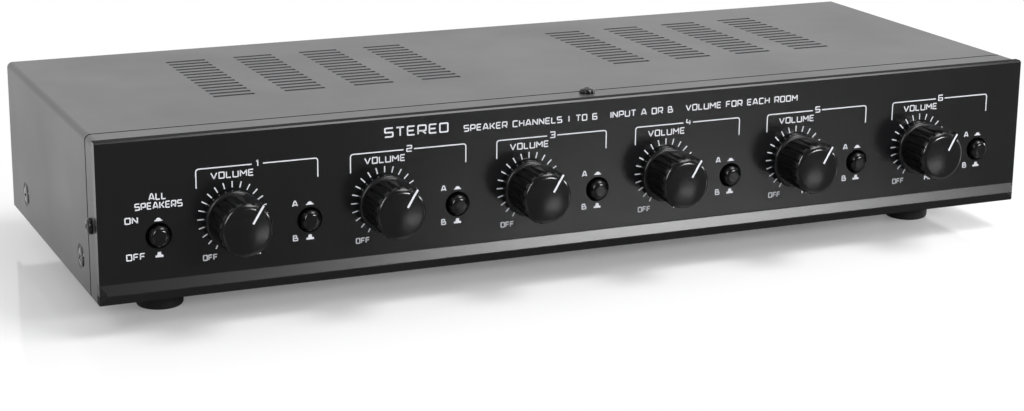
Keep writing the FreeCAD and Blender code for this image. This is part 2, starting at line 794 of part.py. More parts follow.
def make_knob(channel):
    """Moulded volume knob: round skirt, crowned and fluted grip, pointer fin, D bore."""
    label = f"volume_knob_{channel + 1}"
    body = new_body(label, x=knob_across(channel), z="knob_high")
    turn_clockwise(body, "pointer_turn")
    half = outline_sketch(body, "half", "YZ_Plane", [
        ("-knob_gap", "0"), ("-knob_gap", f"{SKIRT_WIDE} / 2"),
        (f"-{KNOB_BACK}", f"{SKIRT_WIDE} / 2"), (f"-{KNOB_BACK}", "grip_base / 2"),
        ("-knob_reach + crown_drop", f"{GRIP_FRONT} / 2"), ("-knob_reach", "0"),
    ], crowned=4)
    turned = revolve(body, half, "H_Axis")
    skirt = dress(body, "Fillet", turned,
                  lambda edge: (is_circle(edge, SKIRT_WIDE)
                                and near(edge.BoundBox.YMin, f"-{KNOB_BACK}")),
                  "min(skirt_round; skirt_ledge * 0.9; skirt_thick * 0.9)")
    body.Tip = dress(body, "Fillet", skirt, lambda edge: is_circle(edge, GRIP_FRONT),
                     "grip_round")
    flute = pocket(body, circle_sketch(body, "flute", "XZ_Plane", [
        ("0", "grip_base / 2 - flute_deep + flute_wide / 2", "flute_wide")],
        "knob_reach - flute_stop"), f"knob_reach - flute_stop - {KNOB_BACK}")
    ring_of(body, flute, "Y_Axis", "flute_count")
    root = f"{GRIP_FRONT} / 2 - pointer_root"
    tip = f"{SKIRT_WIDE} / 2 + pointer_over"
    loft(body, *(outline_sketch(body, f"pointer_{end}", "XZ_Plane", [
        (f"-{wide} / 2", root), (f"{wide} / 2", root),
        (f"{narrow} / 2", tip), (f"-{narrow} / 2", tip),
    ], height) for end, wide, narrow, height in (
        ("back", "pointer_base", "pointer_tip", KNOB_BACK),
        ("front", "pointer_neck", "pointer_point", "knob_reach - pointer_sink"))))
    pocket(body, circle_sketch(body, "bore", "XZ_Plane", [("0", "0", SHAFT_BORE)]),
           f"{SHAFT_FRONT} + shaft_end_room", reverse=True)
    body.Tip = pad(body, outline_sketch(body, "bore_flat", "XZ_Plane", box_corners(
        "-shaft_wide / 2", "shaft_wide / 2",
        "shaft_wide / 2 - shaft_flat + shaft_fit", "shaft_wide / 2 + shaft_fit * 4"),
        KNOB_BACK), f"{SHAFT_FRONT} - {KNOB_BACK}")
    keep(body)


def make_shaft(channel):
    """Steel control shaft with a flat along the stretch inside its knob."""
    body = new_body(f"volume_shaft_{channel + 1}", x=knob_across(channel), z="knob_high")
    turn_clockwise(body, "pointer_turn")
    bar = circle_sketch(body, "bar", "XZ_Plane", [("0", "0", "shaft_wide")], SHAFT_FRONT)
    pad(body, bar, f"{SHAFT_FRONT} + shaft_tail", reverse=True)
    flat = outline_sketch(body, "flat", "XZ_Plane", box_corners(
        "-shaft_wide", "shaft_wide", "shaft_wide / 2 - shaft_flat", "shaft_wide"), SHAFT_FRONT)
    body.Tip = pocket(body, flat, SHAFT_FRONT)
    keep(body)


def make_volume_switch(channel):
    """Rotary tap switch: square body on the board, threaded bush through the frame."""
    body = new_body(f"volume_switch_{channel + 1}", x=knob_across(channel), z="knob_high")
    half = "switch_side / 2"
    block = pad(body, outline_sketch(body, "body", "XZ_Plane", box_corners(
        f"-{half}", half, f"-{half}", half), f"-{BOARD_FRONT}"),
        f"{BOARD_FRONT} - face_thick - frame_wall")
    body.Tip = dress(body, "Fillet", block, runs_along_y, "switch_round")
    bush = circle_sketch(body, "bush", "XZ_Plane", [("0", "0", BUSH_WIDE)],
                         "-face_thick - frame_wall")
    pad(body, bush, "face_thick + frame_wall - bush_front")
    body.Tip = pocket(body, circle_sketch(body, "bore", "XZ_Plane", [
        ("0", "0", SHAFT_BORE)]), "shaft_tail + tail_room")
    keep(body)


def make_button_cap(name, across):
    """Round button cap with a domed front and a square socket behind."""
    body = new_body(f"button_cap_{name}", x=across, z="button_high")
    half = outline_sketch(body, "half", "YZ_Plane", [
        ("cap_tail", "0"), ("cap_tail", "cap_wide / 2"),
        ("-cap_reach", "cap_wide / 2"), ("-cap_reach", "0"),
    ])
    turned = revolve(body, half, "H_Axis")
    body.Tip = dress(body, "Fillet", turned,
                     lambda edge: (is_circle(edge, "cap_wide")
                                   and near(edge.BoundBox.YMin, "-cap_reach")), "cap_round")
    side = "plunger_side / 2 + plunger_fit"
    body.Tip = pocket(body, outline_sketch(body, "socket", "XZ_Plane", box_corners(
        f"-({side})", side, f"-({side})", side), "-cap_tail"), "cap_socket", reverse=True)
    keep(body)


def make_plunger(name, across):
    """Square plunger that carries the cap into the push switch."""
    body = new_body(f"button_plunger_{name}", x=across, z="button_high")
    half = "plunger_side / 2"
    body.Tip = pad(body, outline_sketch(body, "bar", "XZ_Plane", box_corners(
        f"-{half}", half, f"-{half}", half), PLUNGER_FRONT),
        f"{PLUNGER_FRONT} + plunger_tail", reverse=True)
    keep(body)


def make_push_switches():
    """Seven push switch bodies on the control board, each with a square well."""
    body = new_body("push_switch")
    half = "push_side / 2"
    pad(body, outline_sketch(body, "body", "XZ_Plane", box_corners(
        f"-{half}", half, f"-{half}", half), f"-{BOARD_FRONT}"),
        f"{BOARD_FRONT} - {PUSH_FRONT}")
    side = "plunger_side / 2 + push_slack"
    body.Tip = pocket(body, outline_sketch(body, "well", "XZ_Plane", box_corners(
        f"-({side})", side, f"-({side})", side), f"-{PUSH_FRONT}"),
        f"{PUSH_WELL_END} - {PUSH_FRONT}")
    keep(group("push_switches", (body, [
        (across, "0", "button_high", UPRIGHT) for _name, across in BUTTONS])))


def make_bush_fixings():
    """Hexagon nut and washer on each control bush, in front of the frame."""
    nut = new_body("bush_nut")
    flat = "nut_flats / 2"
    shoulder = f"{NUT_CORNERS} / 4"
    point = f"{NUT_CORNERS} / 2"
    pad(nut, outline_sketch(nut, "hexagon", "XZ_Plane", [
        (flat, f"-{shoulder}"), (flat, shoulder), ("0", point),
        (f"-{flat}", shoulder), (f"-{flat}", f"-{shoulder}"), ("0", f"-{point}"),
    ]), "nut_thick")
    nut.Tip = pocket(nut, circle_sketch(nut, "thread", "XZ_Plane", [
        ("0", "0", f"{BUSH_WIDE} + 2 * shaft_fit")]))
    washer = new_body("bush_washer")
    ring = new_sketch(washer, "ring", "XZ_Plane")
    add_circle(ring, "0", "0", "washer_wide")
    add_circle(ring, "0", "0", BUSH_HOLE)
    washer.Tip = pad(washer, ring, "washer_thick")
    spots = [knob_across(channel) for channel in CHANNELS]
    keep(group("bush_fixings",
               (washer, [(x, "face_thick", "knob_high", UPRIGHT) for x in spots]),
               (nut, [(x, "face_thick - washer_thick", "knob_high", UPRIGHT) for x in spots])))


def make_boards():
    """Control board behind the switches and line board behind the terminal blocks."""
    keep(box_piece("control_board", "board_inset - face_width / 2", BOARD_FRONT, "board_low",
                   "face_width - 2 * board_inset", "board_thick", "board_high"))
    keep(box_piece("line_board", "line_board_inset - face_width / 2",
                   f"{REAR_OUTSIDE} - neck_deep - board_thick",
                   "block_middle - line_board_high / 2",
                   "face_width - 2 * line_board_inset", "board_thick", "line_board_high"))


# ---------------------------------------------------------------- rear terminals

def make_terminal_block(index, name):
    """Four-way barrier block: moulded base, upright barriers, neck through the panel."""
    body = new_body(f"terminal_block_{name}", x=block_across(index),
                    y=REAR_OUTSIDE, z="block_middle")
    pad(body, outline_sketch(body, "base", "XZ_Plane", box_corners(
        f"-{BLOCK_WIDE} / 2", f"{BLOCK_WIDE} / 2", "-block_high / 2", "block_high / 2")),
        "block_base", reverse=True)
    pad(body, outline_sketch(body, "neck", "XZ_Plane", box_corners(
        f"-{NECK_HALF_WIDE}", NECK_HALF_WIDE, f"-{NECK_HALF_HIGH}", NECK_HALF_HIGH)),
        "neck_deep")
    barrier = pad(body, outline_sketch(body, "barrier", "YZ_Plane", [
        ("block_base / 2", "-block_high / 2"),
        (BARRIER_OUT, "-block_high / 2 + block_base"),
        (BARRIER_OUT, "block_high / 2 - block_base"),
        ("block_base / 2", "block_high / 2"),
    ], f"-{BLOCK_WIDE} / 2"), "barrier_thick")
    row_of(body, barrier, "X_Axis", "way_pitch", "way_count + 1")
    holes = circle_sketch(body, "screw_hole", "XZ_Plane", [
        ("-way_pitch * (way_count - 1) / 2", "0", SCREW_HOLE)], "-block_base")
    drilled = pocket(body, holes, "clamp_shank_long + tail_room", reverse=True)
    row_of(body, drilled, "X_Axis", "way_pitch", "way_count")
    keep(body)


def way_places(y):
    """Return the place of every terminal way at one depth."""
    return [(f"{block_across(index)} + way_pitch * ({way} - (way_count - 1) / 2)",
             y, "block_middle", FACING_REAR)
            for index in range(SIZES["block_count"]) for way in range(SIZES["way_count"])]


def make_terminal_fixings():
    """Clamp plate and screw on every way of the terminal blocks."""
    plate = new_body("terminal_clamp")
    sketch = outline_sketch(plate, "plate", "XZ_Plane", box_corners(
        f"-{CLAMP_HALF}", CLAMP_HALF, f"-{CLAMP_HALF}", CLAMP_HALF))
    add_circle(sketch, "0", "0", SCREW_HOLE)
    plate.Tip = pad(plate, sketch, "clamp_thick")
    screw = make_screw("terminal_screw", "clamp_head", "clamp_head_high", "screw_shank",
                       "clamp_thick + clamp_shank_long")
    keep(group("terminal_fixings",
               (plate, way_places(f"{REAR_OUTSIDE} + block_base")),
               (screw, way_places(f"{REAR_OUTSIDE} + block_base + clamp_thick"))))


# ----------------------------------------------------------------------- screws

def make_screw(label, head, head_high, shank, grip):
    """Screw that faces the front: bevelled head before its seat, shank behind it."""
    body = new_body(label)
    half = outline_sketch(body, "half", "YZ_Plane", [
        (f"-{head_high}", "0"), (f"-{head_high}", f"{head} / 2 * {HEAD_TOP}"),
        (f"-{head_high} * {HEAD_RIM}", f"{head} / 2"), ("0", f"{head} / 2"),
        ("0", f"{shank} / 2"), (grip, f"{shank} / 2"), (grip, "0"),
    ])
    body.Tip = revolve(body, half, "H_Axis")
    return body


def make_case_screws():
    """Bright screws in the cover's dimples; black screws in the frame and the rear lip."""
    bright = make_screw("bright_screw", "bright_head", "bright_head_high", "screw_shank",
                        "screw_grip")
    seat = "(face_width / 2 - dimple_deep)"
    keep(group("side_screws", (bright, [
        (f"{sign}{seat}", back, "side_screw_high", spin)
        for sign, spin in (("-", FACING_LEFT), ("", FACING_RIGHT))
        for back in ("side_screw_front", SIDE_SCREW_REAR)])))
    black = make_screw("black_screw", "black_head", "black_head_high", "screw_shank",
                       "screw_grip")
    frame_spots = [("-face_width / 2", BLACK_SIDE_BACK, "black_side_high", FACING_LEFT),
                   ("face_width / 2", BLACK_SIDE_BACK, "black_side_high", FACING_RIGHT),
                   ("0", BLACK_TOP_BACK, "face_height", FACING_UP)]
    lip_spots = [(across, "case_depth", "face_height - lip_screw_drop", FACING_REAR)
                 for across in LIP_SCREW_SPOTS]
    keep(group("black_screws", (black, frame_spots + lip_spots)))


# ------------------------------------------------------------------------- feet

def make_feet():
    """Four tapered rubber feet with a screw well, each held by one screw."""
    well_wide = "(foot_head / 2 + foot_well_room)"
    for name, (x, y) in zip(("front_left", "front_right", "rear_left", "rear_right"), FOOT_SPOTS):
        body = new_body(f"foot_{name}", x=x, y=y, z="-floor_clearance")
        half = outline_sketch(body, "half", "XZ_Plane", [
            (well_wide, "0"), ("foot_base / 2", "0"), ("foot_top / 2", FOOT_HIGH),
            (f"{FOOT_HOLE} / 2", FOOT_HIGH), (f"{FOOT_HOLE} / 2", "foot_well_deep"),
            (well_wide, "foot_well_deep"),
        ])
        turned = revolve(body, half, "V_Axis")
        body.Tip = dress(body, "Fillet", turned, lambda edge: is_circle(edge, "foot_base"),
                         "foot_round")
        keep(body)
    screw = make_screw("foot_screw", "foot_head", "foot_head_high", "foot_shank",
                       f"{FOOT_HIGH} - foot_well_deep + pan_wall + foot_screw_end")
    keep(group("foot_screws", (screw, [
        (x, y, "foot_well_deep - floor_clearance", FACING_DOWN) for x, y in FOOT_SPOTS])))


# ------------------------------------------------------------------ autoformers

def former_places():
    """Return the places of the two autoformers of every channel."""
    return [(f"{knob_across(channel)} + former_aside", back, PAN_FLOOR, UPRIGHT)
            for channel in CHANNELS for back in ("former_front", "case_depth - former_rear")]


def make_autoformers():
    """Autoformers on the pan: E-I core, coil on its middle leg, strap and screws."""
    core = new_body("autoformer_core")
    sketch = outline_sketch(core, "lamination", "XZ_Plane", box_corners(
        "-core_wide / 2", "core_wide / 2", "0", "core_high"))
    for sign in ("-", ""):
        add_outline(sketch, box_corners(
            f"{sign}core_leg / 2", f"{sign}(core_wide / 2 - core_limb)",
            "core_limb", "core_high - core_limb"))
    core.Tip = pad(core, sketch, "core_stack", midplane=True)
    keep(group("autoformer_cores", (core, former_places())))
    coil = new_body("autoformer_coil")
    inner = ("core_leg / 2 + coil_room", "core_stack / 2 + coil_room")
    outer = ("core_wide / 2 - core_limb - coil_room", "core_stack / 2 + coil_overhang")
    turns = outline_sketch(coil, "turns", "XY_Plane", box_corners(
        f"-({outer[0]})", outer[0], f"-({outer[1]})", outer[1]), "core_limb + coil_room")
    add_outline(turns, box_corners(
        f"-({inner[0]})", inner[0], f"-({inner[1]})", inner[1]))
    coil.Tip = pad(coil, turns, "core_high - 2 * core_limb - 2 * coil_room")
    keep(group("autoformer_coils", (coil, former_places())))
    strap = new_body("autoformer_strap")
    side = "core_wide / 2"
    strap.Tip = pad(strap, outline_sketch(strap, "section", "XZ_Plane", [
        (f"-{side} - strap_tab", "0"), (f"-{side}", "0"), (f"-{side}", "core_high"),
        (side, "core_high"), (side, "0"), (f"{side} + strap_tab", "0"),
        (f"{side} + strap_tab", "strap_thick"), (f"{side} + strap_thick", "strap_thick"),
        (f"{side} + strap_thick", "core_high + strap_thick"),
        (f"-{side} - strap_thick", "core_high + strap_thick"),
        (f"-{side} - strap_thick", "strap_thick"), (f"-{side} - strap_tab", "strap_thick"),
    ]), "strap_wide", midplane=True)
    keep(group("autoformer_straps", (strap, former_places())))


# ------------------------------------------------------------------ whole object

def build_all():
    """Make every sub-part in the order that the object goes together."""
    make_face_plate()
    make_front_frame()
    make_top_cover()
    make_base_pan()
    make_rear_panel()
    for channel in CHANNELS:
        make_knob(channel)
        make_shaft(channel)
        make_volume_switch(channel)
    for name, across in BUTTONS:
        make_button_cap(name, across)
        make_plunger(name, across)
    make_push_switches()
    make_bush_fixings()
    make_boards()
    for index, name in enumerate(BLOCK_NAMES):
        make_terminal_block(index, name)
    make_terminal_fixings()
    make_case_screws()
    make_feet()
    make_autoformers()


def check_document():
    """Stop if any object failed or any sub-part has no sound shape."""
    for thing in document.Objects:
        for word in ("Invalid", "Error"):
            if word in thing.State:
                raise RuntimeError(f"{thing.Label} is {word}")
    for piece in nodes:
        if piece.Shape.isNull() or not piece.Shape.isValid():
            raise RuntimeError(f"{piece.Label} has no sound shape")


def write_parts():
    """Write each sub-part to its own STEP file."""
    os.makedirs("parts", exist_ok=True)
    for piece in nodes:
        piece.Shape.exportStep(f"parts/{piece.Label}.step")
        print(piece.Label, len(piece.Shape.Solids), round(piece.Shape.Volume, 1))


build_all()
document.recompute()
check_document()
write_parts()
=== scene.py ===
"""Dresses the speaker selector switch: finishes, printed legends, screws, studio.

+Z is up, X runs along the front and Y from front to rear, in the frame of the
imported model. Places and sizes of print, knobs, screws and bands are written in
millimetres, and MM turns them to metres where they are used. The grain of the
finishes, the lamps, the floor and the camera are written in metres.
"""

import json
import logging
import math
from collections.abc import Callable, Iterator, Mapping, Sequence
from contextlib import contextmanager
from dataclasses import dataclass, field
from enum import Enum

import bmesh
import bpy
from mathutils import Matrix, Vector

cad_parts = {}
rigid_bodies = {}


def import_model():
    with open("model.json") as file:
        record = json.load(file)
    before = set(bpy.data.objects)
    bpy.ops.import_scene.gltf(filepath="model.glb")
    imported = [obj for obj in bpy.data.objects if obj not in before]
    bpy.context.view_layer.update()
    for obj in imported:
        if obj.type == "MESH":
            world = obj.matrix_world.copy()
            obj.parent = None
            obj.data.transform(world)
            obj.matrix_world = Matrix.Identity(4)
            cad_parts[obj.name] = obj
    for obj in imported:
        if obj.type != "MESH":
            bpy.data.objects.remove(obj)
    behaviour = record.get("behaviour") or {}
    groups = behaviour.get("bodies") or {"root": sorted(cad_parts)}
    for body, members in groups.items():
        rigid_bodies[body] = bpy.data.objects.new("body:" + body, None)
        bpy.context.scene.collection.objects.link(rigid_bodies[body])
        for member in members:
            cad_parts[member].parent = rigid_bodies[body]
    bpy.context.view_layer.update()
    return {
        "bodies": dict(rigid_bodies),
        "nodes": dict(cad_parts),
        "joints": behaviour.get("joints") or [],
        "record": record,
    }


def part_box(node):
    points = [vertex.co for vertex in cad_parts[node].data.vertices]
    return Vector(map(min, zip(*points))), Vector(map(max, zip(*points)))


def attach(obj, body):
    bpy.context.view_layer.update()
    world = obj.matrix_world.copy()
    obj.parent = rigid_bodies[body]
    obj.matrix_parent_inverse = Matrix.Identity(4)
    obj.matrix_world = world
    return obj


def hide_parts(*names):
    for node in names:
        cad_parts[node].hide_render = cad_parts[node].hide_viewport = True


LOG = logging.getLogger("selector")

MM = 0.001
MERGE_UNDER = 1e-7

Point = tuple[float, float]
Colour = tuple[float, float, float]
Value = bpy.types.NodeSocket | float | tuple


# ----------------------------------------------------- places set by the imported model


def in_mm(metres: float) -> float:
    """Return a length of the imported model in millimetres, to a micrometre."""
    return round(metres / MM, 3)


def middles(frame: dict, start: str) -> dict[str, Point]:
    """Find the middles of the nodes whose names start alike, seen from the front.

    Args:
        start: how the names start.

    Returns:
        The place across and up of each node, by the rest of its name.
    """
    found = {}
    for name in frame["nodes"]:
        if name.startswith(start):
            middle = sum(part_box(name), Vector()) / 2
            found[name.removeprefix(start)] = (in_mm(middle.x), in_mm(middle.z))
    return found


@dataclass(frozen=True)
class Layout:
    """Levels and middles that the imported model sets, in millimetres."""

    face: float
    rear: float
    knob_front: float
    knobs: dict[str, Point]
    buttons: dict[str, Point]
    blocks: dict[str, Point]

    @classmethod
    def read(cls, frame: dict) -> "Layout":
        """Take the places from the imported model's joints and nodes.


        Returns:
            The places. Each knob's axis is given where it passes the face.
        """
        axes = {joint["child"].removeprefix("volume_"): [in_mm(part) for part in joint["pos_m"]]
                for joint in frame["joints"] if joint["type"] == "hinge"}
        return cls(face=axes["1"][1],
                   rear=in_mm(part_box("rear_panel")[1].y),
                   knob_front=in_mm(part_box("volume_knob_1")[0].y),
                   knobs={channel: (axes[channel][0], axes[channel][2])
                          for channel in sorted(axes)},
                   buttons=middles(frame, "button_cap_"),
                   blocks=middles(frame, "terminal_block_"))


# --------------------------------------------------------------- working by hand


def clear_start() -> None:
    """Empty the scene of the objects that Blender starts with."""
    for thing in list(bpy.data.objects):
        bpy.data.objects.remove(thing)


def pick(*things: bpy.types.Object) -> None:
    """Select only these objects and make the first of them active.

    Args:
        things: the objects to select.
    """
    for other in bpy.context.view_layer.objects:
        other.select_set(False)
    for thing in things:
        thing.select_set(True)
    bpy.context.view_layer.objects.active = things[0]


@contextmanager
def editing(thing: bpy.types.Object) -> Iterator[bmesh.types.BMesh]:
    """Open one object in edit mode with nothing of it selected.

    Args:
        thing: the mesh object to open.

    Returns:
        The mesh that is being edited.
    """
    pick(thing)
    bpy.ops.object.mode_set(mode="EDIT")
    bpy.ops.mesh.select_mode(type="VERT")
    bpy.ops.mesh.select_all(action="DESELECT")
    try:
        yield bmesh.from_edit_mesh(thing.data)
    finally:
        bpy.ops.object.mode_set(mode="OBJECT")


def choose(thing: bpy.types.Object, wanted: Callable[[Vector], bool]) -> None:
    """Select, in edit mode, the points that stand where they are wanted.

    Args:
        thing: the object that is open in edit mode.
        wanted: says of a point's place whether it is taken.
    """
    mesh = bmesh.from_edit_mesh(thing.data)
    for vert in mesh.verts:
        vert.select_set(wanted(vert.co))
    mesh.select_flush_mode()
    mesh.select_flush(True)
    bmesh.update_edit_mesh(thing.data)


def apply_all(thing: bpy.types.Object) -> None:
    """Apply every modifier of an object in its order.

    Args:
        thing: the object that carries them.
    """
    pick(thing)
    for modifier in list(thing.modifiers):
        bpy.ops.object.modifier_apply(modifier=modifier.name)


def settle(thing: bpy.types.Object) -> None:
    """Move an object's place, turn and scale into its mesh."""
    pick(thing)
    bpy.ops.object.transform_apply(location=True, rotation=True, scale=True)


def tidy_mesh(thing: bpy.types.Object, smooth_under: float | None = None) -> None:
    """Merge doubled points, turn the faces outwards and set the shading.

    Args:
        thing: the mesh object.
        smooth_under: angle in degrees under which edges are shaded smooth.
    """
    with editing(thing):
        bpy.ops.mesh.select_all(action="SELECT")
        bpy.ops.mesh.remove_doubles(threshold=MERGE_UNDER)
        bpy.ops.mesh.normals_make_consistent(inside=False)
    if smooth_under is not None:
        pick(thing)
        bpy.ops.object.shade_smooth_by_angle(angle=math.radians(smooth_under))


def even_shading(thing: bpy.types.Object, smooth_under: float) -> None:
    """Shade a merged copy smooth, with its large faces leading the small ones.

    Args:
        thing: the mesh object.
        smooth_under: angle in degrees under which edges are shaded smooth.
    """
    tidy_mesh(thing, smooth_under)
    even = thing.modifiers.new("even shading", "WEIGHTED_NORMAL")
    even.keep_sharp = True
    apply_all(thing)


def wire_object(name: str, points: Sequence[Sequence[float]],
                edges: Sequence[tuple[int, int]]) -> bpy.types.Object:
    """Make an object from points and edges, ready to be worked on.

    Args:
        name: the object's name.
        points: the places of its points in metres.
        edges: pairs of points to join, by their index.

    Returns:
        The object, in the scene.
    """
    mesh = bpy.data.meshes.new(name)
    mesh.from_pydata([Vector(point) for point in points], list(edges), [])
    mesh.update()
    thing = bpy.data.objects.new(name, mesh)
    bpy.context.scene.collection.objects.link(thing)
    return thing


def copy_at(thing: bpy.types.Object, name: str,
            place: Matrix = Matrix.Identity(4)) -> bpy.types.Object:
    """Copy an object with a mesh of its own and set the copy's mesh in place.

    Args:
        thing: the object to copy.
        name: the copy's name.
        place: the move and turn of its mesh.

    Returns:
        The copy, in the scene.
    """
    twin = bpy.data.objects.new(name, thing.data.copy())
    twin.data.transform(place)
    bpy.context.scene.collection.objects.link(twin)
    return twin


def join_all(name: str, parts: Sequence[bpy.types.Object]) -> bpy.types.Object:
    """Join several mesh objects into one that carries a name.

    Args:
        name: the whole object's name.
        parts: the objects to join, of which the first is kept.

    Returns:
        The whole object.
    """
    pick(*parts)
    if len(parts) > 1:
        bpy.ops.object.join()
    whole = parts[0]
    whole.name = whole.data.name = name
    return whole


def discard(thing: bpy.types.Object) -> None:
    """Delete a working object that isn't part of the model.

    Args:
        thing: the object, whose mesh goes too where nothing else uses it.
    """
    mesh = thing.data
    bpy.data.objects.remove(thing)
    if not mesh.users:
        bpy.data.meshes.remove(mesh)


# ------------------------------------------------------------------ shader nodes


def feed(tree: bpy.types.NodeTree, node: bpy.types.Node,
         values: Mapping[str | int, Value]) -> None:
    """Give a node's inputs their values.

    Args:
        tree: the tree that holds the node.
        node: the node to feed.
        values: for each input, the socket to link or the plain value to set.
    """
    for label, value in values.items():
        if isinstance(value, bpy.types.NodeSocket):
            tree.links.new(value, node.inputs[label])
        else:
            node.inputs[label].default_value = value


def add_node(tree: bpy.types.NodeTree, kind: str,
             values: Mapping[str | int, Value] | None = None,
             **settings: object) -> bpy.types.Node:
    """Add a shader node, make its settings and feed it.

    Args:
        tree: the tree that gets the node.
        kind: the node's type without its "ShaderNode".
        values: for each input, the socket to link or the plain value to set.
        settings: the node's own settings by name.

    Returns:
        The node.
    """
    node = tree.nodes.new(f"ShaderNode{kind}")
    for name, setting in settings.items():
        setattr(node, name, setting)
    feed(tree, node, values or {})
    return node


def figure(tree: bpy.types.NodeTree, operation: str,
           *values: bpy.types.NodeSocket | float) -> bpy.types.NodeSocket:
    """Work out one number from others with a node.

    Args:
        tree: the material's or the world's node tree.
        operation: what the node does.
        values: sockets to link or plain numbers.

    Returns:
        The socket that gives the result.
    """
    return add_node(tree, "Math", dict(enumerate(values)), operation=operation).outputs[0]


def mixed(tree: bpy.types.NodeTree, share: Value, first: Value, second: Value,
          kind: str = "FLOAT") -> bpy.types.NodeSocket:
    """Mix two numbers or two colours.

    Args:
        tree: the node tree.
        share: how much of the second one there is.
        first: what shows where the share is 0.
        second: what shows where the share is 1.
        kind: FLOAT for numbers or RGBA for colours.

    Returns:
        The socket that gives the mixture.
    """
    node = add_node(tree, "Mix", {"Factor": share, "A": first, "B": second}, data_type=kind)
    return node.outputs["Result"]


def ramp(tree: bpy.types.NodeTree, value: bpy.types.NodeSocket, over: Point,
         to: Point = (0.0, 1.0)) -> bpy.types.NodeSocket:
    """Ease a number from one level to another while it crosses a range.

    Args:
        tree: the material's or the world's node tree.
        value: the socket that gives the number.
        over: the range that it crosses.
        to: the levels at the two ends.

    Returns:
        The socket that gives the level.
    """
    limits = zip(("From Min", "From Max", "To Min", "To Max"), (*over, *to))
    node = add_node(tree, "MapRange", {"Value": value, **dict(limits)},
                    interpolation_type="SMOOTHSTEP")
    return node.outputs["Result"]


# --------------------------------------------------------------------- finishes

NUMBER, VECTOR, COLOUR = "NodeSocketFloat", "NodeSocketVector", "NodeSocketColor"
Group = tuple[bpy.types.NodeTree, bpy.types.NodeOutputs, bpy.types.NodeSocket]


class Grain(Enum):
    """Kinds of fine relief that a finish can carry."""

    PEEL = "orange peel of a baked paint"
    MOULD = "spark texture of a moulding tool"
    TURNED = "rings left by turning or polishing"
    PLATE = "near smooth plating"
    LAMINATED = "edges of stacked sheets"
    WOUND = "turns of wire under tape"


# How uneven the lines of each lined grain are; the other grains are pebbled.
UNEVENNESS = {Grain.TURNED: 0.1, Grain.LAMINATED: 0.1, Grain.WOUND: 0.6}
# Metres from line to line where a wave texture's scale is 1.
WAVE_SPACING = 0.314
# How much finer the gloss wanders than the tone drifts.
GLOSS_FINER = 2.2


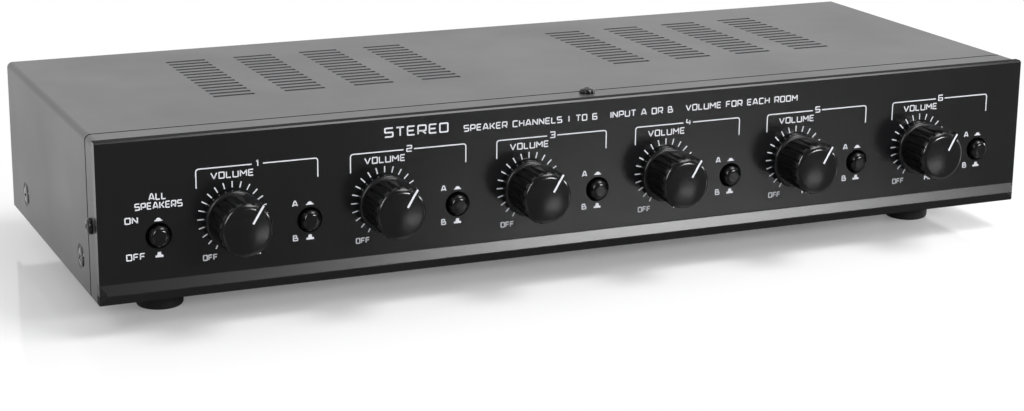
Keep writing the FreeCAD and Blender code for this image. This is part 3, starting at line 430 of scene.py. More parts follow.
class Effects:
    """Node groups that several finishes share, each built once."""

    def __init__(self) -> None:
        """Build the groups."""
        self.drift = self._drift()
        self.wander = self._wander()
        self.relief = self._relief()
        self.lines = self._lines()
        self.strip = self._strip()

    @staticmethod
    def _group(name: str, inputs: Mapping[str, str], output: str,
               kind: str = NUMBER) -> Group:
        """Start a group with named sockets.

        Args:
            name: the group's name.
            inputs: socket type of each named input.
            output: the name of its output.
            kind: the socket type of its output.

        Returns:
            The group, what its inputs give, and the socket that its result goes to.
        """
        tree = bpy.data.node_groups.new(name, "ShaderNodeTree")
        for label, socket in inputs.items():
            tree.interface.new_socket(name=label, in_out="INPUT", socket_type=socket)
        tree.interface.new_socket(name=output, in_out="OUTPUT", socket_type=kind)
        given = tree.nodes.new("NodeGroupInput").outputs
        return tree, given, tree.nodes.new("NodeGroupOutput").inputs[output]

    @classmethod
    def _drift(cls) -> bpy.types.NodeTree:
        """Make the slow change between two tones of one colour.

        Returns:
            The group.
        """
        tree, given, result = cls._group(
            "tone drift", {"Vector": VECTOR, "Scale": NUMBER, "Dark": COLOUR, "Light": COLOUR},
            "Color", COLOUR)
        noise = add_node(tree, "TexNoise", {"Vector": given["Vector"],
                                            "Scale": given["Scale"], "Detail": 3.0})
        tree.links.new(mixed(tree, noise.outputs["Fac"], given["Dark"], given["Light"],
                             "RGBA"), result)
        return tree

    @classmethod
    def _wander(cls) -> bpy.types.NodeTree:
        """Make roughness that wanders between two values, as handling leaves it.

        Returns:
            The group.
        """
        tree, given, result = cls._group(
            "gloss wander", {"Vector": VECTOR, "Scale": NUMBER, "Low": NUMBER, "High": NUMBER},
            "Roughness")
        noise = add_node(tree, "TexNoise", {"Vector": given["Vector"],
                                            "Scale": given["Scale"], "Detail": 4.0})
        span = add_node(tree, "MapRange", {
            "Value": noise.outputs["Fac"], "From Min": 0.3, "From Max": 0.7,
            "To Min": given["Low"], "To Max": given["High"]})
        tree.links.new(span.outputs["Result"], result)
        return tree

    @classmethod
    def _relief(cls) -> bpy.types.NodeTree:
        """Make the height of a fine pebbled grain.

        Returns:
            The group.
        """
        tree, given, result = cls._group(
            "pebble relief", {"Vector": VECTOR, "Scale": NUMBER, "Crispness": NUMBER}, "Height")
        size = {"Vector": given["Vector"], "Scale": given["Scale"]}
        noise = add_node(tree, "TexNoise", {**size, "Detail": 2.0})
        cells = add_node(tree, "TexVoronoi", size)
        tree.links.new(mixed(tree, given["Crispness"], noise.outputs["Fac"],
                             cells.outputs["Distance"]), result)
        return tree

    @classmethod
    def _lines(cls) -> bpy.types.NodeTree:
        """Make the height of close lines: tool marks, stacked sheets or turns of wire.

        Returns:
            The group.
        """
        tree, given, result = cls._group(
            "close lines", {"Vector": VECTOR, "Scale": NUMBER, "Unevenness": NUMBER}, "Height")
        wave = add_node(tree, "TexWave", {
            "Vector": given["Vector"], "Scale": given["Scale"],
            "Distortion": given["Unevenness"], "Detail": 1.0},
            wave_profile="SIN", bands_direction="Y")
        tree.links.new(wave.outputs["Fac"], result)
        return tree

    @classmethod
    def _strip(cls) -> bpy.types.NodeTree:
        """Make a mask that is 1 between two levels and runs out to 0 beyond them.

        Returns:
            The group.
        """
        names = ("Level", "Low", "High", "Edge")
        tree, given, result = cls._group("strip mask", dict.fromkeys(names, NUMBER), "Mask")
        level, low, high, edge = (given[name] for name in names)
        beyond = figure(tree, "MAXIMUM", figure(tree, "SUBTRACT", low, level),
                        figure(tree, "SUBTRACT", level, high))
        out = figure(tree, "DIVIDE", figure(tree, "MAXIMUM", beyond, 0.0), edge)
        tree.links.new(figure(tree, "SUBTRACT", 1.0, figure(tree, "MINIMUM", out, 1.0)), result)
        return tree


@dataclass(frozen=True)
class Band:
    """A strip of a surface, between two levels of one axis, with its own gloss and, where its
    shade is under 1, painted shade: a darker copy of its colour.
    """

    axis: str
    low: float
    high: float
    roughness: float = 1.0
    # How much of the colour is left on the band; under 1 it is painted shade.
    shade: float = 0.15
    edge: float = 0.08

    def mask(self, tree: bpy.types.NodeTree, effects: Effects,
             place: bpy.types.NodeSocket) -> bpy.types.NodeSocket:
        """Mark the band on a surface.

        Args:
            tree: the material's node tree.
            effects: the shared node groups.
            place: the socket that gives a point's place.

        Returns:
            The socket that is 1 on the band.
        """
        split = add_node(tree, "SeparateXYZ", {"Vector": place})
        strip = add_node(tree, "Group", {
            "Level": split.outputs[self.axis], "Low": self.low * MM,
            "High": self.high * MM, "Edge": self.edge * MM}, node_tree=effects.strip)
        return strip.outputs["Mask"]


@dataclass(frozen=True)
class Finish:
    """One surface finish: its colour, its gloss and its fine relief."""

    slot: str
    colour: Colour
    roughness: Point
    grain: Grain
    grain_size: float
    grain_high: float
    metallic: float = 0.0
    specular: float = 0.5
    coat: float = 0.0
    coat_roughness: float = 0.1
    tone_size: float = 0.05
    tone_change: float = 0.12
    crispness: float = 0.3
    bands: tuple[Band, ...] = ()

    def _tone(self, change: float, shade: float = 1.0) -> tuple[float, float, float, float]:
        """Return the colour made lighter by a share, or darker by a negative one."""
        return (*(min(1.0, part * (1 + change)) * shade for part in self.colour), 1.0)

    def _relief(self, tree: bpy.types.NodeTree, effects: Effects,
                place: bpy.types.NodeSocket) -> bpy.types.NodeSocket:
        """Work out the height of the finish's grain.

        Args:
            tree: the material's node tree.
            effects: the shared node groups.
            place: the socket that gives a point's place.

        Returns:
            The socket that gives the height.
        """
        if self.grain in UNEVENNESS:
            group, values = effects.lines, {"Scale": WAVE_SPACING / self.grain_size,
                                            "Unevenness": UNEVENNESS[self.grain]}
        else:
            group, values = effects.relief, {"Scale": 1 / self.grain_size,
                                             "Crispness": self.crispness}
        node = add_node(tree, "Group", {"Vector": place, **values}, node_tree=group)
        return node.outputs["Height"]

    def build(self, effects: Effects) -> bpy.types.Material:
        """Build the material.

        Args:
            effects: the shared node groups.

        Returns:
            The material, named for its slot.
        """
        material = bpy.data.materials.new(f"finish {self.slot}")
        material.use_nodes = True
        tree = material.node_tree
        place = add_node(tree, "TexCoord").outputs["Object"]
        tone = add_node(tree, "Group", {
            "Vector": place, "Scale": 1 / self.tone_size, "Dark": self._tone(-self.tone_change),
            "Light": self._tone(self.tone_change)}, node_tree=effects.drift)
        gloss = add_node(tree, "Group", {
            "Vector": place, "Scale": GLOSS_FINER / self.tone_size,
            "Low": self.roughness[0], "High": self.roughness[1]}, node_tree=effects.wander)
        colour, roughness = tone.outputs["Color"], gloss.outputs["Roughness"]
        # Each band mixes in its own roughness and a darker copy of the colour, which is painted
        # shade where the band's shade is under 1.
        for band in self.bands:
            mask = band.mask(tree, effects, place)
            shaded = self._tone(-self.tone_change, band.shade)
            colour = mixed(tree, mask, colour, shaded, "RGBA")
            roughness = mixed(tree, mask, roughness, band.roughness)
        bump = add_node(tree, "Bump", {"Height": self._relief(tree, effects, place),
                                       "Distance": self.grain_high})
        feed(tree, tree.nodes["Principled BSDF"], {
            "Base Color": colour, "Roughness": roughness, "Metallic": self.metallic,
            "Specular IOR Level": self.specular, "Coat Weight": self.coat,
            "Coat Roughness": self.coat_roughness, "Normal": bump.outputs["Normal"]})
        return material


FINISHES = (
    Finish("face_black", (0.0048, 0.0048, 0.0053), (0.18, 0.22), Grain.PEEL,
           0.0007, 0.000012, specular=0.34, tone_change=0.10,
           # Painted shade: the plate's top edge is darkened and made fully rough, so that it
           # reads as a dark line.
           bands=(Band("Z", 79.40, 79.60),
                  # Painted shade: the nose below the chin strip is darkened and dulled.
                  Band("Z", 12.0, 17.3, roughness=0.8, shade=0.5, edge=0.15),
                  Band("Z", 17.5, 22.0, roughness=0.27, shade=1.0))),
    Finish("case_paint", (0.055, 0.055, 0.058), (0.33, 0.40), Grain.PEEL,
           0.0011, 0.000006, tone_change=0.04, tone_size=0.12,
           # Painted shade: a dark, fully rough strip on the paint where the front frame meets
           # the cover, for the shade in the seam gap.
           bands=(Band("Y", -61.0, -59.8),)),
    Finish("knob_black", (0.0036, 0.0036, 0.0040), (0.16, 0.20), Grain.MOULD,
           0.0005, 0.0000006, specular=0.33, tone_change=0.15, tone_size=0.01,
           # The grip's sides are rougher than the cap, and their colour is darkened as painted
           # shade.
           bands=(Band("Y", -93.2, -79.4, roughness=0.40, shade=0.6, edge=0.8),)),
    Finish("button_black", (0.003, 0.003, 0.0033), (0.12, 0.17), Grain.PLATE,
           0.001, 0.000001, specular=0.34, tone_change=0.1, tone_size=0.01),
    Finish("plunger_white", (0.72, 0.72, 0.70), (0.35, 0.45), Grain.MOULD,
           0.0005, 0.000004),
    Finish("shaft_steel", (0.56, 0.56, 0.55), (0.25, 0.35), Grain.TURNED,
           0.0003, 0.000004, metallic=1.0),
    Finish("switch_black", (0.03, 0.03, 0.032), (0.4, 0.5), Grain.MOULD,
           0.0006, 0.00001),
    Finish("bright_nickel", (0.70, 0.69, 0.66), (0.12, 0.24), Grain.PLATE,
           0.0008, 0.000002, metallic=1.0, tone_size=0.004),
    # A darkened copy of the nickel for the side screws: painted shade, so that their chrome
    # heads read dark.
    Finish("shade_painted_nickel", (0.08, 0.08, 0.082), (0.07, 0.11), Grain.PLATE,
           0.0008, 0.000001, metallic=1.0, tone_size=0.004),
    Finish("black_zinc", (0.004, 0.004, 0.0045), (0.09, 0.13), Grain.PLATE,
           0.0008, 0.000002, tone_size=0.004, specular=0.4),
    Finish("board_green", (0.012, 0.085, 0.035), (0.25, 0.35), Grain.PEEL,
           0.002, 0.00001, coat=0.3, tone_size=0.02),
    Finish("terminal_black", (0.013, 0.013, 0.014), (0.32, 0.44), Grain.MOULD,
           0.0006, 0.00001, tone_size=0.02),
    Finish("foot_rubber", (0.012, 0.012, 0.012), (0.55, 0.7), Grain.MOULD,
           0.0008, 0.00002, specular=0.3, tone_size=0.01),
    Finish("core_steel", (0.22, 0.22, 0.23), (0.4, 0.55), Grain.LAMINATED,
           0.0005, 0.00006, metallic=0.8),
    Finish("coil_copper", (0.33, 0.13, 0.05), (0.3, 0.45), Grain.WOUND,
           0.0006, 0.00008, metallic=0.6, coat=0.4),
    Finish("legend_ink", (0.53, 0.54, 0.57), (0.42, 0.52), Grain.PEEL,
           0.0009, 0.000004, tone_change=0.08, tone_size=0.006),
)


@dataclass
class Wardrobe:
    """Every finish of the selector, and the work of putting them on."""

    effects: Effects = field(default_factory=Effects)
    made: dict[str, bpy.types.Material] = field(default_factory=dict)

    def sew(self) -> None:
        """Build all the materials."""
        for finish in FINISHES:
            self.made[finish.slot] = finish.build(self.effects)

    def dress_node(self, node: bpy.types.Object) -> None:
        """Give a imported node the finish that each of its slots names.

        Args:
            node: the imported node.
        """
        for holder in node.material_slots:
            slot = holder.material.name.split(".")[0]
            holder.material = self.made[slot]

    def dress_piece(self, piece: bpy.types.Object, slot: str) -> None:
        """Give a new piece one finish all over."""
        piece.data.materials.clear()
        piece.data.materials.append(self.made[slot])


# -------------------------------------------------------------------- lettering

# Strokes of each letter on a grid of 8 by 8: pairs of digits are points, "|"
# lifts the pen and "*" closes a stroke. The number before them is the letter's
# width against its height.
GLYPHS: dict[str, tuple[float, str]] = {
    "A": (0.92, "00 38 58 80|12 72"),
    "B": (0.80, "04 08 68 64|00 04 84 80*"),
    "C": (0.80, "88 08 00 80"),
    "E": (0.72, "88 08 00 80|04 74"),
    "F": (0.72, "88 08 00|04 74"),
    "H": (0.80, "00 08|80 88|04 84"),
    "I": (0.01, "00 08"),
    "K": (0.78, "00 08|88 34 80|04 34"),
    "L": (0.70, "08 00 80"),
    "M": (0.98, "00 08 43 88 80"),
    "N": (0.82, "00 08 80 88"),
    "O": (0.82, "00 08 88 80*"),
    "P": (0.78, "00 08 88 83 03"),
    "R": (0.80, "00 08 88 83 03|43 80"),
    "S": (0.80, "88 08 04 84 80 00"),
    "T": (0.78, "08 88|48 40"),
    "U": (0.82, "08 00 80 88"),
    "V": (0.92, "08 40 88"),
    "X": (0.84, "00 88|08 80"),
    "1": (0.45, "26 48 40"),
    "2": (0.78, "08 88 84 04 00 80"),
    "3": (0.78, "08 88 80 00|24 84"),
    "4": (0.84, "18 03 83|66 60"),
    "5": (0.78, "88 08 04 84 80 00"),
    "6": (0.78, "88 08 00 80 84 04"),
    "+": (0.62, "04 84|47 41"),
    "-": (0.62, "04 84"),
    " ": (0.40, ""),
}
GRID = 8
LETTER_GAP = 0.36


@dataclass(frozen=True)
class Stroke:
    """One pull of the pen: its points across and up, in millimetres."""

    points: tuple[Point, ...]
    closed: bool = False


@dataclass(frozen=True)
class Pen:
    """How wide a stroke is and how far its corners are cut back, in millimetres."""

    width: float
    corner: float = 0.0


@dataclass(frozen=True)
class Words:
    """A line of lettering round its middle, in millimetres."""

    text: str
    across: float
    up: float
    high: float
    wide: float

    def strokes(self) -> list[Stroke]:
        """Draw the whole line, fitted to its width.

        Returns:
            The strokes in the order of the letters.
        """
        spans = [GLYPHS[letter][0] for letter in self.text]
        stretch = self.wide / (sum(spans) + LETTER_GAP * (len(spans) - 1))
        left = self.across - self.wide / 2
        foot = self.up - self.high / 2
        made: list[Stroke] = []
        for letter, span in zip(self.text, spans):
            for run in filter(None, GLYPHS[letter][1].split("|")):
                points = tuple((left + int(pair[0]) / GRID * span * stretch,
                                foot + int(pair[1]) / GRID * self.high)
                               for pair in run.rstrip("*").split())
                made.append(Stroke(points, run.endswith("*")))
            left += (span + LETTER_GAP) * stretch
        return made


class Facing(Enum):
    """Which way a print looks."""

    FRONT = 0.0
    REAR = math.pi


@dataclass
class Print:
    """Ink laid on one flat of the case and gathered into one piece."""

    name: str
    level: float
    facing: Facing = Facing.FRONT
    thick: float = 0.05
    sunk: float = 0.01
    corner_steps: int = 3
    parts: list[bpy.types.Object] = field(default_factory=list)

    def _spot(self, point: Point) -> tuple[float, float, float]:
        """Return a point of the print just under the flat, as seen from the front."""
        return point[0] * MM, self.sunk * MM, point[1] * MM

    def _rise(self) -> dict[str, tuple[float, float, float]]:
        """Return the move that draws the ink out of the flat."""
        return {"value": (0, -(self.thick + self.sunk) * MM, 0)}

    def strokes(self, strokes: Sequence[Stroke], pen: Pen) -> None:
        """Lay strokes of one width with rounded corners.

        Args:
            strokes: the strokes to lay.
            pen: what they are drawn with.
        """
        points: list[Sequence[float]] = []
        edges: list[tuple[int, int]] = []
        for stroke in strokes:
            first, count = len(points), len(stroke.points)
            points += map(self._spot, stroke.points)
            edges += [(first + i, first + i + 1) for i in range(count - 1)]
            if stroke.closed:
                edges.append((first + count - 1, first))
        ribbon = wire_object("ribbon", points, edges)
        with editing(ribbon) as mesh:
            bends = [vert for vert in mesh.verts if len(vert.link_edges) == 2]
            if bends and pen.corner:
                for vert in bends:
                    vert.select_set(True)
                bmesh.update_edit_mesh(ribbon.data)
                bpy.ops.mesh.bevel(offset=pen.corner * MM, segments=self.corner_steps,
                                   affect="VERTICES", clamp_overlap=True)
            bpy.ops.mesh.select_all(action="SELECT")
            bpy.ops.mesh.extrude_edges_move(TRANSFORM_OT_translate=self._rise())
            bpy.ops.mesh.select_all(action="SELECT")
            bpy.ops.mesh.normals_make_consistent(inside=False)
        wall = ribbon.modifiers.new("width", "SOLIDIFY")
        wall.thickness = pen.width * MM
        wall.offset = 0.0
        wall.use_even_offset = True
        apply_all(ribbon)
        self.parts.append(ribbon)

    def write(self, words: Sequence[Words], pen: Pen) -> None:
        """Lay lines of lettering."""
        self.strokes([stroke for line in words for stroke in line.strokes()], pen)

    def patch(self, outline: Sequence[Point]) -> None:
        """Lay a filled shape.

        Args:
            outline: its corners in order, in millimetres.
        """
        count = len(outline)
        shape = wire_object("patch", [self._spot(point) for point in outline],
                            [(i, (i + 1) % count) for i in range(count)])
        with editing(shape):
            bpy.ops.mesh.select_all(action="SELECT")
            bpy.ops.mesh.edge_face_add()
            bpy.ops.mesh.extrude_region_move(TRANSFORM_OT_translate=self._rise())
        self.parts.append(shape)

    def gather(self) -> bpy.types.Object:
        """Join what was laid and set it on its flat.

        Returns:
            The finished piece.
        """
        whole = join_all(self.name, self.parts)
        turn = Matrix.Rotation(self.facing.value, 4, "Z")
        whole.data.transform(Matrix.Translation((0, self.level * MM, 0)) @ turn)
        tidy_mesh(whole)
        return whole


@dataclass(frozen=True)
class PositionMarks:
    """The two small marks by a push button: standing out above it, pushed in below."""

    out_up: float
    in_up: float
    wide: float = 3.2
    out_high: float = 1.35
    in_high: float = 2.1
    rim: float = 0.38
    dome_share: float = 0.68
    dome_steps: int = 12
    base: float = 0.85
    block_share: float = 0.52
    block_taper: float = 0.8

    def _standing_out(self, across: float) -> list[Point]:
        """Draw a low dome on a thin rim.

        Args:
            across: the mark's middle along the face.

        Returns:
            The outline's corners in order.
        """
        half, foot = self.wide / 2, self.out_up - self.out_high / 2
        dome, rise = half * self.dome_share, self.out_high - self.rim
        turns = [math.pi * step / self.dome_steps for step in range(self.dome_steps + 1)]
        arc = [(across + dome * math.cos(turn), foot + self.rim + rise * math.sin(turn))
               for turn in turns]
        return [(across - half, foot), (across + half, foot),
                (across + half, foot + self.rim), *arc, (across - half, foot + self.rim)]

    def _pushed_in(self, across: float) -> list[Point]:
        """Draw a block that stands in a slab.

        Args:
            across: the mark's middle along the face.

        Returns:
            The outline's corners in order.
        """
        half, foot = self.wide / 2, self.in_up - self.in_high / 2
        block = half * self.block_share
        right = [(half, foot), (half, foot + self.base), (block, foot + self.base),
                 (block * self.block_taper, foot + self.in_high)]
        left = [(-aside, up) for aside, up in reversed(right[1:])]
        return [(across + aside, up) for aside, up in [(-half, foot), *right, *left]]

    def lay(self, ink: Print, across: float) -> None:
        """Lay both marks at one place along the face."""
        ink.patch(self._standing_out(across))
        ink.patch(self._pushed_in(across))


@dataclass(frozen=True)
class ChannelLegend:
    """Print round one channel: bracket, number, dial ticks, words and marks."""

    bracket_left: float = -14.4
    bracket_wide: float = 50.44
    bracket_up: float = 65.27
    bracket_leg: float = 57.47
    number_gap: float = 2.35
    number_aside: float = 0.2
    number_raised: float = 0.3
    number_high: float = 2.4
    number_wide: float = 2.1
    tick_count: int = 21
    tick_step: float = 15.0
    tick_inner: float = 11.95
    tick_outer: float = 14.55
    dial_aside: float = 0.3
    dial_up: float = 44.6
    words: tuple[Words, ...] = (
        Words("VOLUME", across=0.4, up=61.97, high=2.4, wide=17.3),
        Words("OFF", across=-9.4, up=28.72, high=2.0, wide=5.6),
        Words("MAX", across=8.2, up=28.95, high=2.0, wide=6.6),
        Words("A", across=26.2, up=47.17, high=2.1, wide=2.0),
        Words("B", across=26.2, up=32.77, high=2.1, wide=1.75))
    bracket_pen: Pen = Pen(0.48, 1.1)
    tick_pen: Pen = Pen(0.5)
    word_pen: Pen = Pen(0.48, 0.32)
    number_pen: Pen = Pen(0.5, 0.25)
    marks: PositionMarks = PositionMarks(out_up=46.87, in_up=32.67)

    def _bracket(self, middle: float) -> list[Stroke]:
        """Draw the two halves of the bracket that frames the channel.

        Args:
            middle: the place of its gap.

        Returns:
            The two strokes.
        """
        half = self.bracket_wide / 2
        return [Stroke(((middle + way * half, self.bracket_leg),
                        (middle + way * half, self.bracket_up),
                        (middle + way * self.number_gap, self.bracket_up)))
                for way in (-1, 1)]

    def _ticks(self) -> list[Stroke]:
        """Draw the ticks of the volume dial.

        Returns:
            A stroke for each tick.
        """
        first = -self.tick_step * (self.tick_count - 1) / 2
        turns = [math.radians(first + self.tick_step * i) for i in range(self.tick_count)]
        return [Stroke(tuple((self.dial_aside + math.sin(turn) * reach,
                              self.dial_up + math.cos(turn) * reach)
                             for reach in (self.tick_inner, self.tick_outer)))
                for turn in turns]

    def build(self, channel: str, layout: Layout) -> bpy.types.Object:
        """Lay the print of one channel.

        Args:
            channel: the channel's number.
            layout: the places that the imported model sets.

        Returns:
            The finished piece.
        """
        across = layout.knobs[channel][0]
        middle = self.bracket_left + self.bracket_wide / 2
        number = Words(channel, middle + self.number_aside,
                       self.bracket_up + self.number_raised, self.number_high, self.number_wide)
        ink = Print(f"legend_channel_{channel}", layout.face)
        ink.strokes(self._bracket(middle), self.bracket_pen)
        ink.strokes(self._ticks(), self.tick_pen)
        ink.write(self.words, self.word_pen)
        ink.write([number], self.number_pen)
        self.marks.lay(ink, layout.buttons[channel][0] - across)
        whole = ink.gather()
        whole.data.transform(Matrix.Translation((across * MM, 0, 0)))
        return whole


@dataclass(frozen=True)
class MasterLegend:
    """Print round the button that switches all speakers."""

    words: tuple[Words, ...] = (
        Words("ALL", across=-190.7, up=55.97, high=2.4, wide=6.6),
        Words("SPEAKERS", across=-190.3, up=52.37, high=2.4, wide=18.8),
        Words("ON", across=-201.4, up=47.07, high=2.3, wide=4.9),
        Words("OFF", across=-200.1, up=32.17, high=2.3, wide=7.2))
    pen: Pen = Pen(0.5, 0.32)
    marks: PositionMarks = PositionMarks(out_up=46.57, in_up=32.17)

    def build(self, layout: Layout) -> bpy.types.Object:
        """Lay the print.

        Args:
            layout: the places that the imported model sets.

        Returns:
            The finished piece.
        """
        ink = Print("legend_all_speakers", layout.face)
        ink.write(self.words, self.pen)
        self.marks.lay(ink, layout.buttons["all"][0])
        return ink.gather()


@dataclass(frozen=True)
class TitleLine:
    """Plain words along the top of the face that say what the controls are for."""

    line: Words = Words("SPEAKER CHANNELS 1 TO 6   INPUT A OR B   VOLUME FOR EACH ROOM",
                        across=18.0, up=71.77, high=2.4, wide=158.0)
    line_pen: Pen = Pen(0.48, 0.32)
    heading: Words = Words("STEREO", across=-82.0, up=72.97, high=3.6, wide=27.5)
    heading_pen: Pen = Pen(0.62, 0.35)

    def build(self, layout: Layout) -> bpy.types.Object:
        """Lay the line.

        Args:
            layout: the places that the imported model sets.

        Returns:
            The finished piece.
        """
        ink = Print("legend_title", layout.face)
        ink.write([self.line], self.line_pen)
        ink.write([self.heading], self.heading_pen)
        return ink.gather()


@dataclass(frozen=True)
class RearLegend:
    """Print over and under the terminal blocks on the rear panel."""

    signs: str = "+--+"
    way_pitch: float = 9.5
    name_up: float = 61.0
    name_high: float = 3.4
    name_wide: float = 2.8
    name_pen: Pen = Pen(0.55, 0.3)
    sign_up: float = 30.3
    sign_high: float = 1.7
    sign_wide: float = 1.5
    side_up: float = 26.1
    side_high: float = 2.2
    side_wide: float = 1.6
    small_pen: Pen = Pen(0.4, 0.2)

    def _under(self, across: float) -> list[Words]:
        """Write the signs of a block's ways and the letters of its two sides.

        Args:
            across: the block's middle, seen from behind.

        Returns:
            The lettering.
        """
        first = across - self.way_pitch * (len(self.signs) - 1) / 2
        signs = [Words(sign, first + self.way_pitch * way, self.sign_up,
                       self.sign_high, self.sign_wide) for way, sign in enumerate(self.signs)]
        sides = [Words(side, across + aside, self.side_up, self.side_high, self.side_wide)
                 for side, aside in (("L", -self.way_pitch), ("R", self.way_pitch))]
        return signs + sides

    def build(self, layout: Layout) -> bpy.types.Object:
        """Lay the rear print.

        Args:
            layout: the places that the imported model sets.

        Returns:
            The finished piece.
        """
        blocks = {name.upper(): -across for name, (across, _) in layout.blocks.items()}
        ink = Print("legend_rear", layout.rear, Facing.REAR)
        ink.write([words for across in blocks.values() for words in self._under(across)],
                  self.small_pen)
        ink.write([Words(name, across, self.name_up, self.name_high, self.name_wide)
                   for name, across in blocks.items()], self.name_pen)
        return ink.gather()


# --------------------------------------------------------------- knobs and buttons


@dataclass(frozen=True)
class SmoothKnob:
    """A volume knob whose facets are merged and whose front is worked up to a full dome.

    The front is spread a little wider than the grip's root and its rim set back, so
    that the crown keeps its place and curves more than the plain turned one.
    """

    crown_reach: float = 1.2
    crown_band: float = 0.4
    cap_reach: float = 10.4
    cap_band: float = 4.6
    cap_spread: float = 1.10
    dome: float = 0.75
    smooth_under: float = 28.0

    def build(self, channel: str, node: bpy.types.Object, layout: Layout,
              wardrobe: Wardrobe) -> bpy.types.Object:
        """Merge a copy of one packed knob and let it stand for the knob.

        Args:
            channel: the channel's number.
            node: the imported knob.
            layout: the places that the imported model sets.
            wardrobe: the finishes.

        Returns:
            The finished piece.
        """
        knob = copy_at(node, f"volume_knob_{channel}_smooth")
        tidy_mesh(knob)
        across, up = layout.knobs[channel]
        axis = Vector((across * MM, 0, up * MM))
        crown_level = (layout.knob_front + self.crown_band) * MM
        cap_level = (layout.knob_front + self.cap_band) * MM
        with editing(knob):
            choose(knob, lambda spot: spot.y < crown_level
                   and self._aside(spot, axis) < self.crown_reach * MM)
            bpy.ops.mesh.merge(type="CENTER")
        with editing(knob):
            choose(knob, lambda spot: spot.y < cap_level
                   and self._aside(spot, axis) < self.cap_reach * MM)
            bpy.ops.transform.resize(value=(self.cap_spread, 1, self.cap_spread),
                                     center_override=axis)
        self._set_back(knob, axis, cap_level)
        even_shading(knob, self.smooth_under)
        wardrobe.dress_piece(knob, "knob_black")
        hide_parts(node.name)
        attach(knob, f"volume_{channel}")
        return knob

    @staticmethod
    def _aside(spot: Vector, axis: Vector) -> float:
        """Return how far a point stands from the knob's axis."""
        return math.hypot(spot.x - axis.x, spot.z - axis.z)

    def _set_back(self, knob: bpy.types.Object, axis: Vector, level: float) -> None:
        """Set the cap back by more and more from its middle to its rim.

        Args:
            knob: the merged knob.
            axis: a point on its axis.
            level: where the cap ends behind.
        """
        share = knob.vertex_groups.new(name="dome")
        for point in knob.data.vertices:
            if point.co.y < level:
                out = self._aside(point.co, axis) / (self.cap_reach * MM)
                share.add([point.index], min(1.0, out ** 2), "REPLACE")
        press = knob.modifiers.new("dome", "DISPLACE")
        press.direction = "Y"
        press.mid_level = 0.0
        press.strength = self.dome * MM
        press.vertex_group = share.name
        apply_all(knob)


@dataclass(frozen=True)
class SmoothButton:
    """A push button's cap whose facets are merged so that its round edge runs smooth."""

    name: str
    smooth_under: float = 50.0

    def build(self, node: bpy.types.Object, wardrobe: Wardrobe) -> bpy.types.Object:
        """Merge a copy of one packed cap and let it stand for the cap.

        Args:
            node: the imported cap.
            wardrobe: the finishes.

        Returns:
            The finished piece.
        """
        cap = copy_at(node, f"button_cap_{self.name}_smooth")
        even_shading(cap, self.smooth_under)
        wardrobe.dress_piece(cap, "button_black")
        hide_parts(node.name)
        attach(cap, f"button_{self.name}")
        return cap


@dataclass(frozen=True)
class PointerLine:
    """White line let into the crowned front of a volume knob and its pointer fin."""

    inner: float = 3.6
    outer: float = 11.9
    wide: float = 0.85
    turn: float = 35.0
    steps: int = 14
    proud: float = 0.02
    thick: float = 0.06
    start: float = 2.0
    smooth_under: float = 30.0

    def build(self, channel: str, knob: bpy.types.Object, layout: Layout) -> bpy.types.Object:
        """Lay a narrow strip before one knob and press it onto its front.

        Args:
            channel: the channel's number.
            knob: the finished knob that carries the line.
            layout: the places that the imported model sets.

        Returns:
            The finished piece.
        """
        bpy.ops.mesh.primitive_grid_add(x_subdivisions=2, y_subdivisions=self.steps, size=MM)
        strip = bpy.context.object
        strip.scale = (self.wide, self.outer - self.inner, 1)
        settle(strip)
        strip.location = (0, (self.inner + self.outer) / 2 * MM, 0)
        settle(strip)
        across, up = layout.knobs[channel]
        before = (across * MM, (layout.knob_front - self.start) * MM, up * MM)
        strip.data.transform(Matrix.Translation(before)
                             @ Matrix.Rotation(math.radians(self.turn), 4, "Y")
                             @ Matrix.Rotation(math.radians(90), 4, "X"))
        press = strip.modifiers.new("press", "SHRINKWRAP")
        press.target = knob
        press.wrap_method = "PROJECT"
        press.use_project_y = True
        press.use_positive_direction = True
        press.offset = self.proud * MM
        wall = strip.modifiers.new("thickness", "SOLIDIFY")
        wall.thickness = self.thick * MM
        wall.offset = -1.0
        apply_all(strip)
        strip.name = strip.data.name = f"pointer_line_{channel}"
        tidy_mesh(strip, self.smooth_under)
        return strip


# ----------------------------------------------------------------------- screws


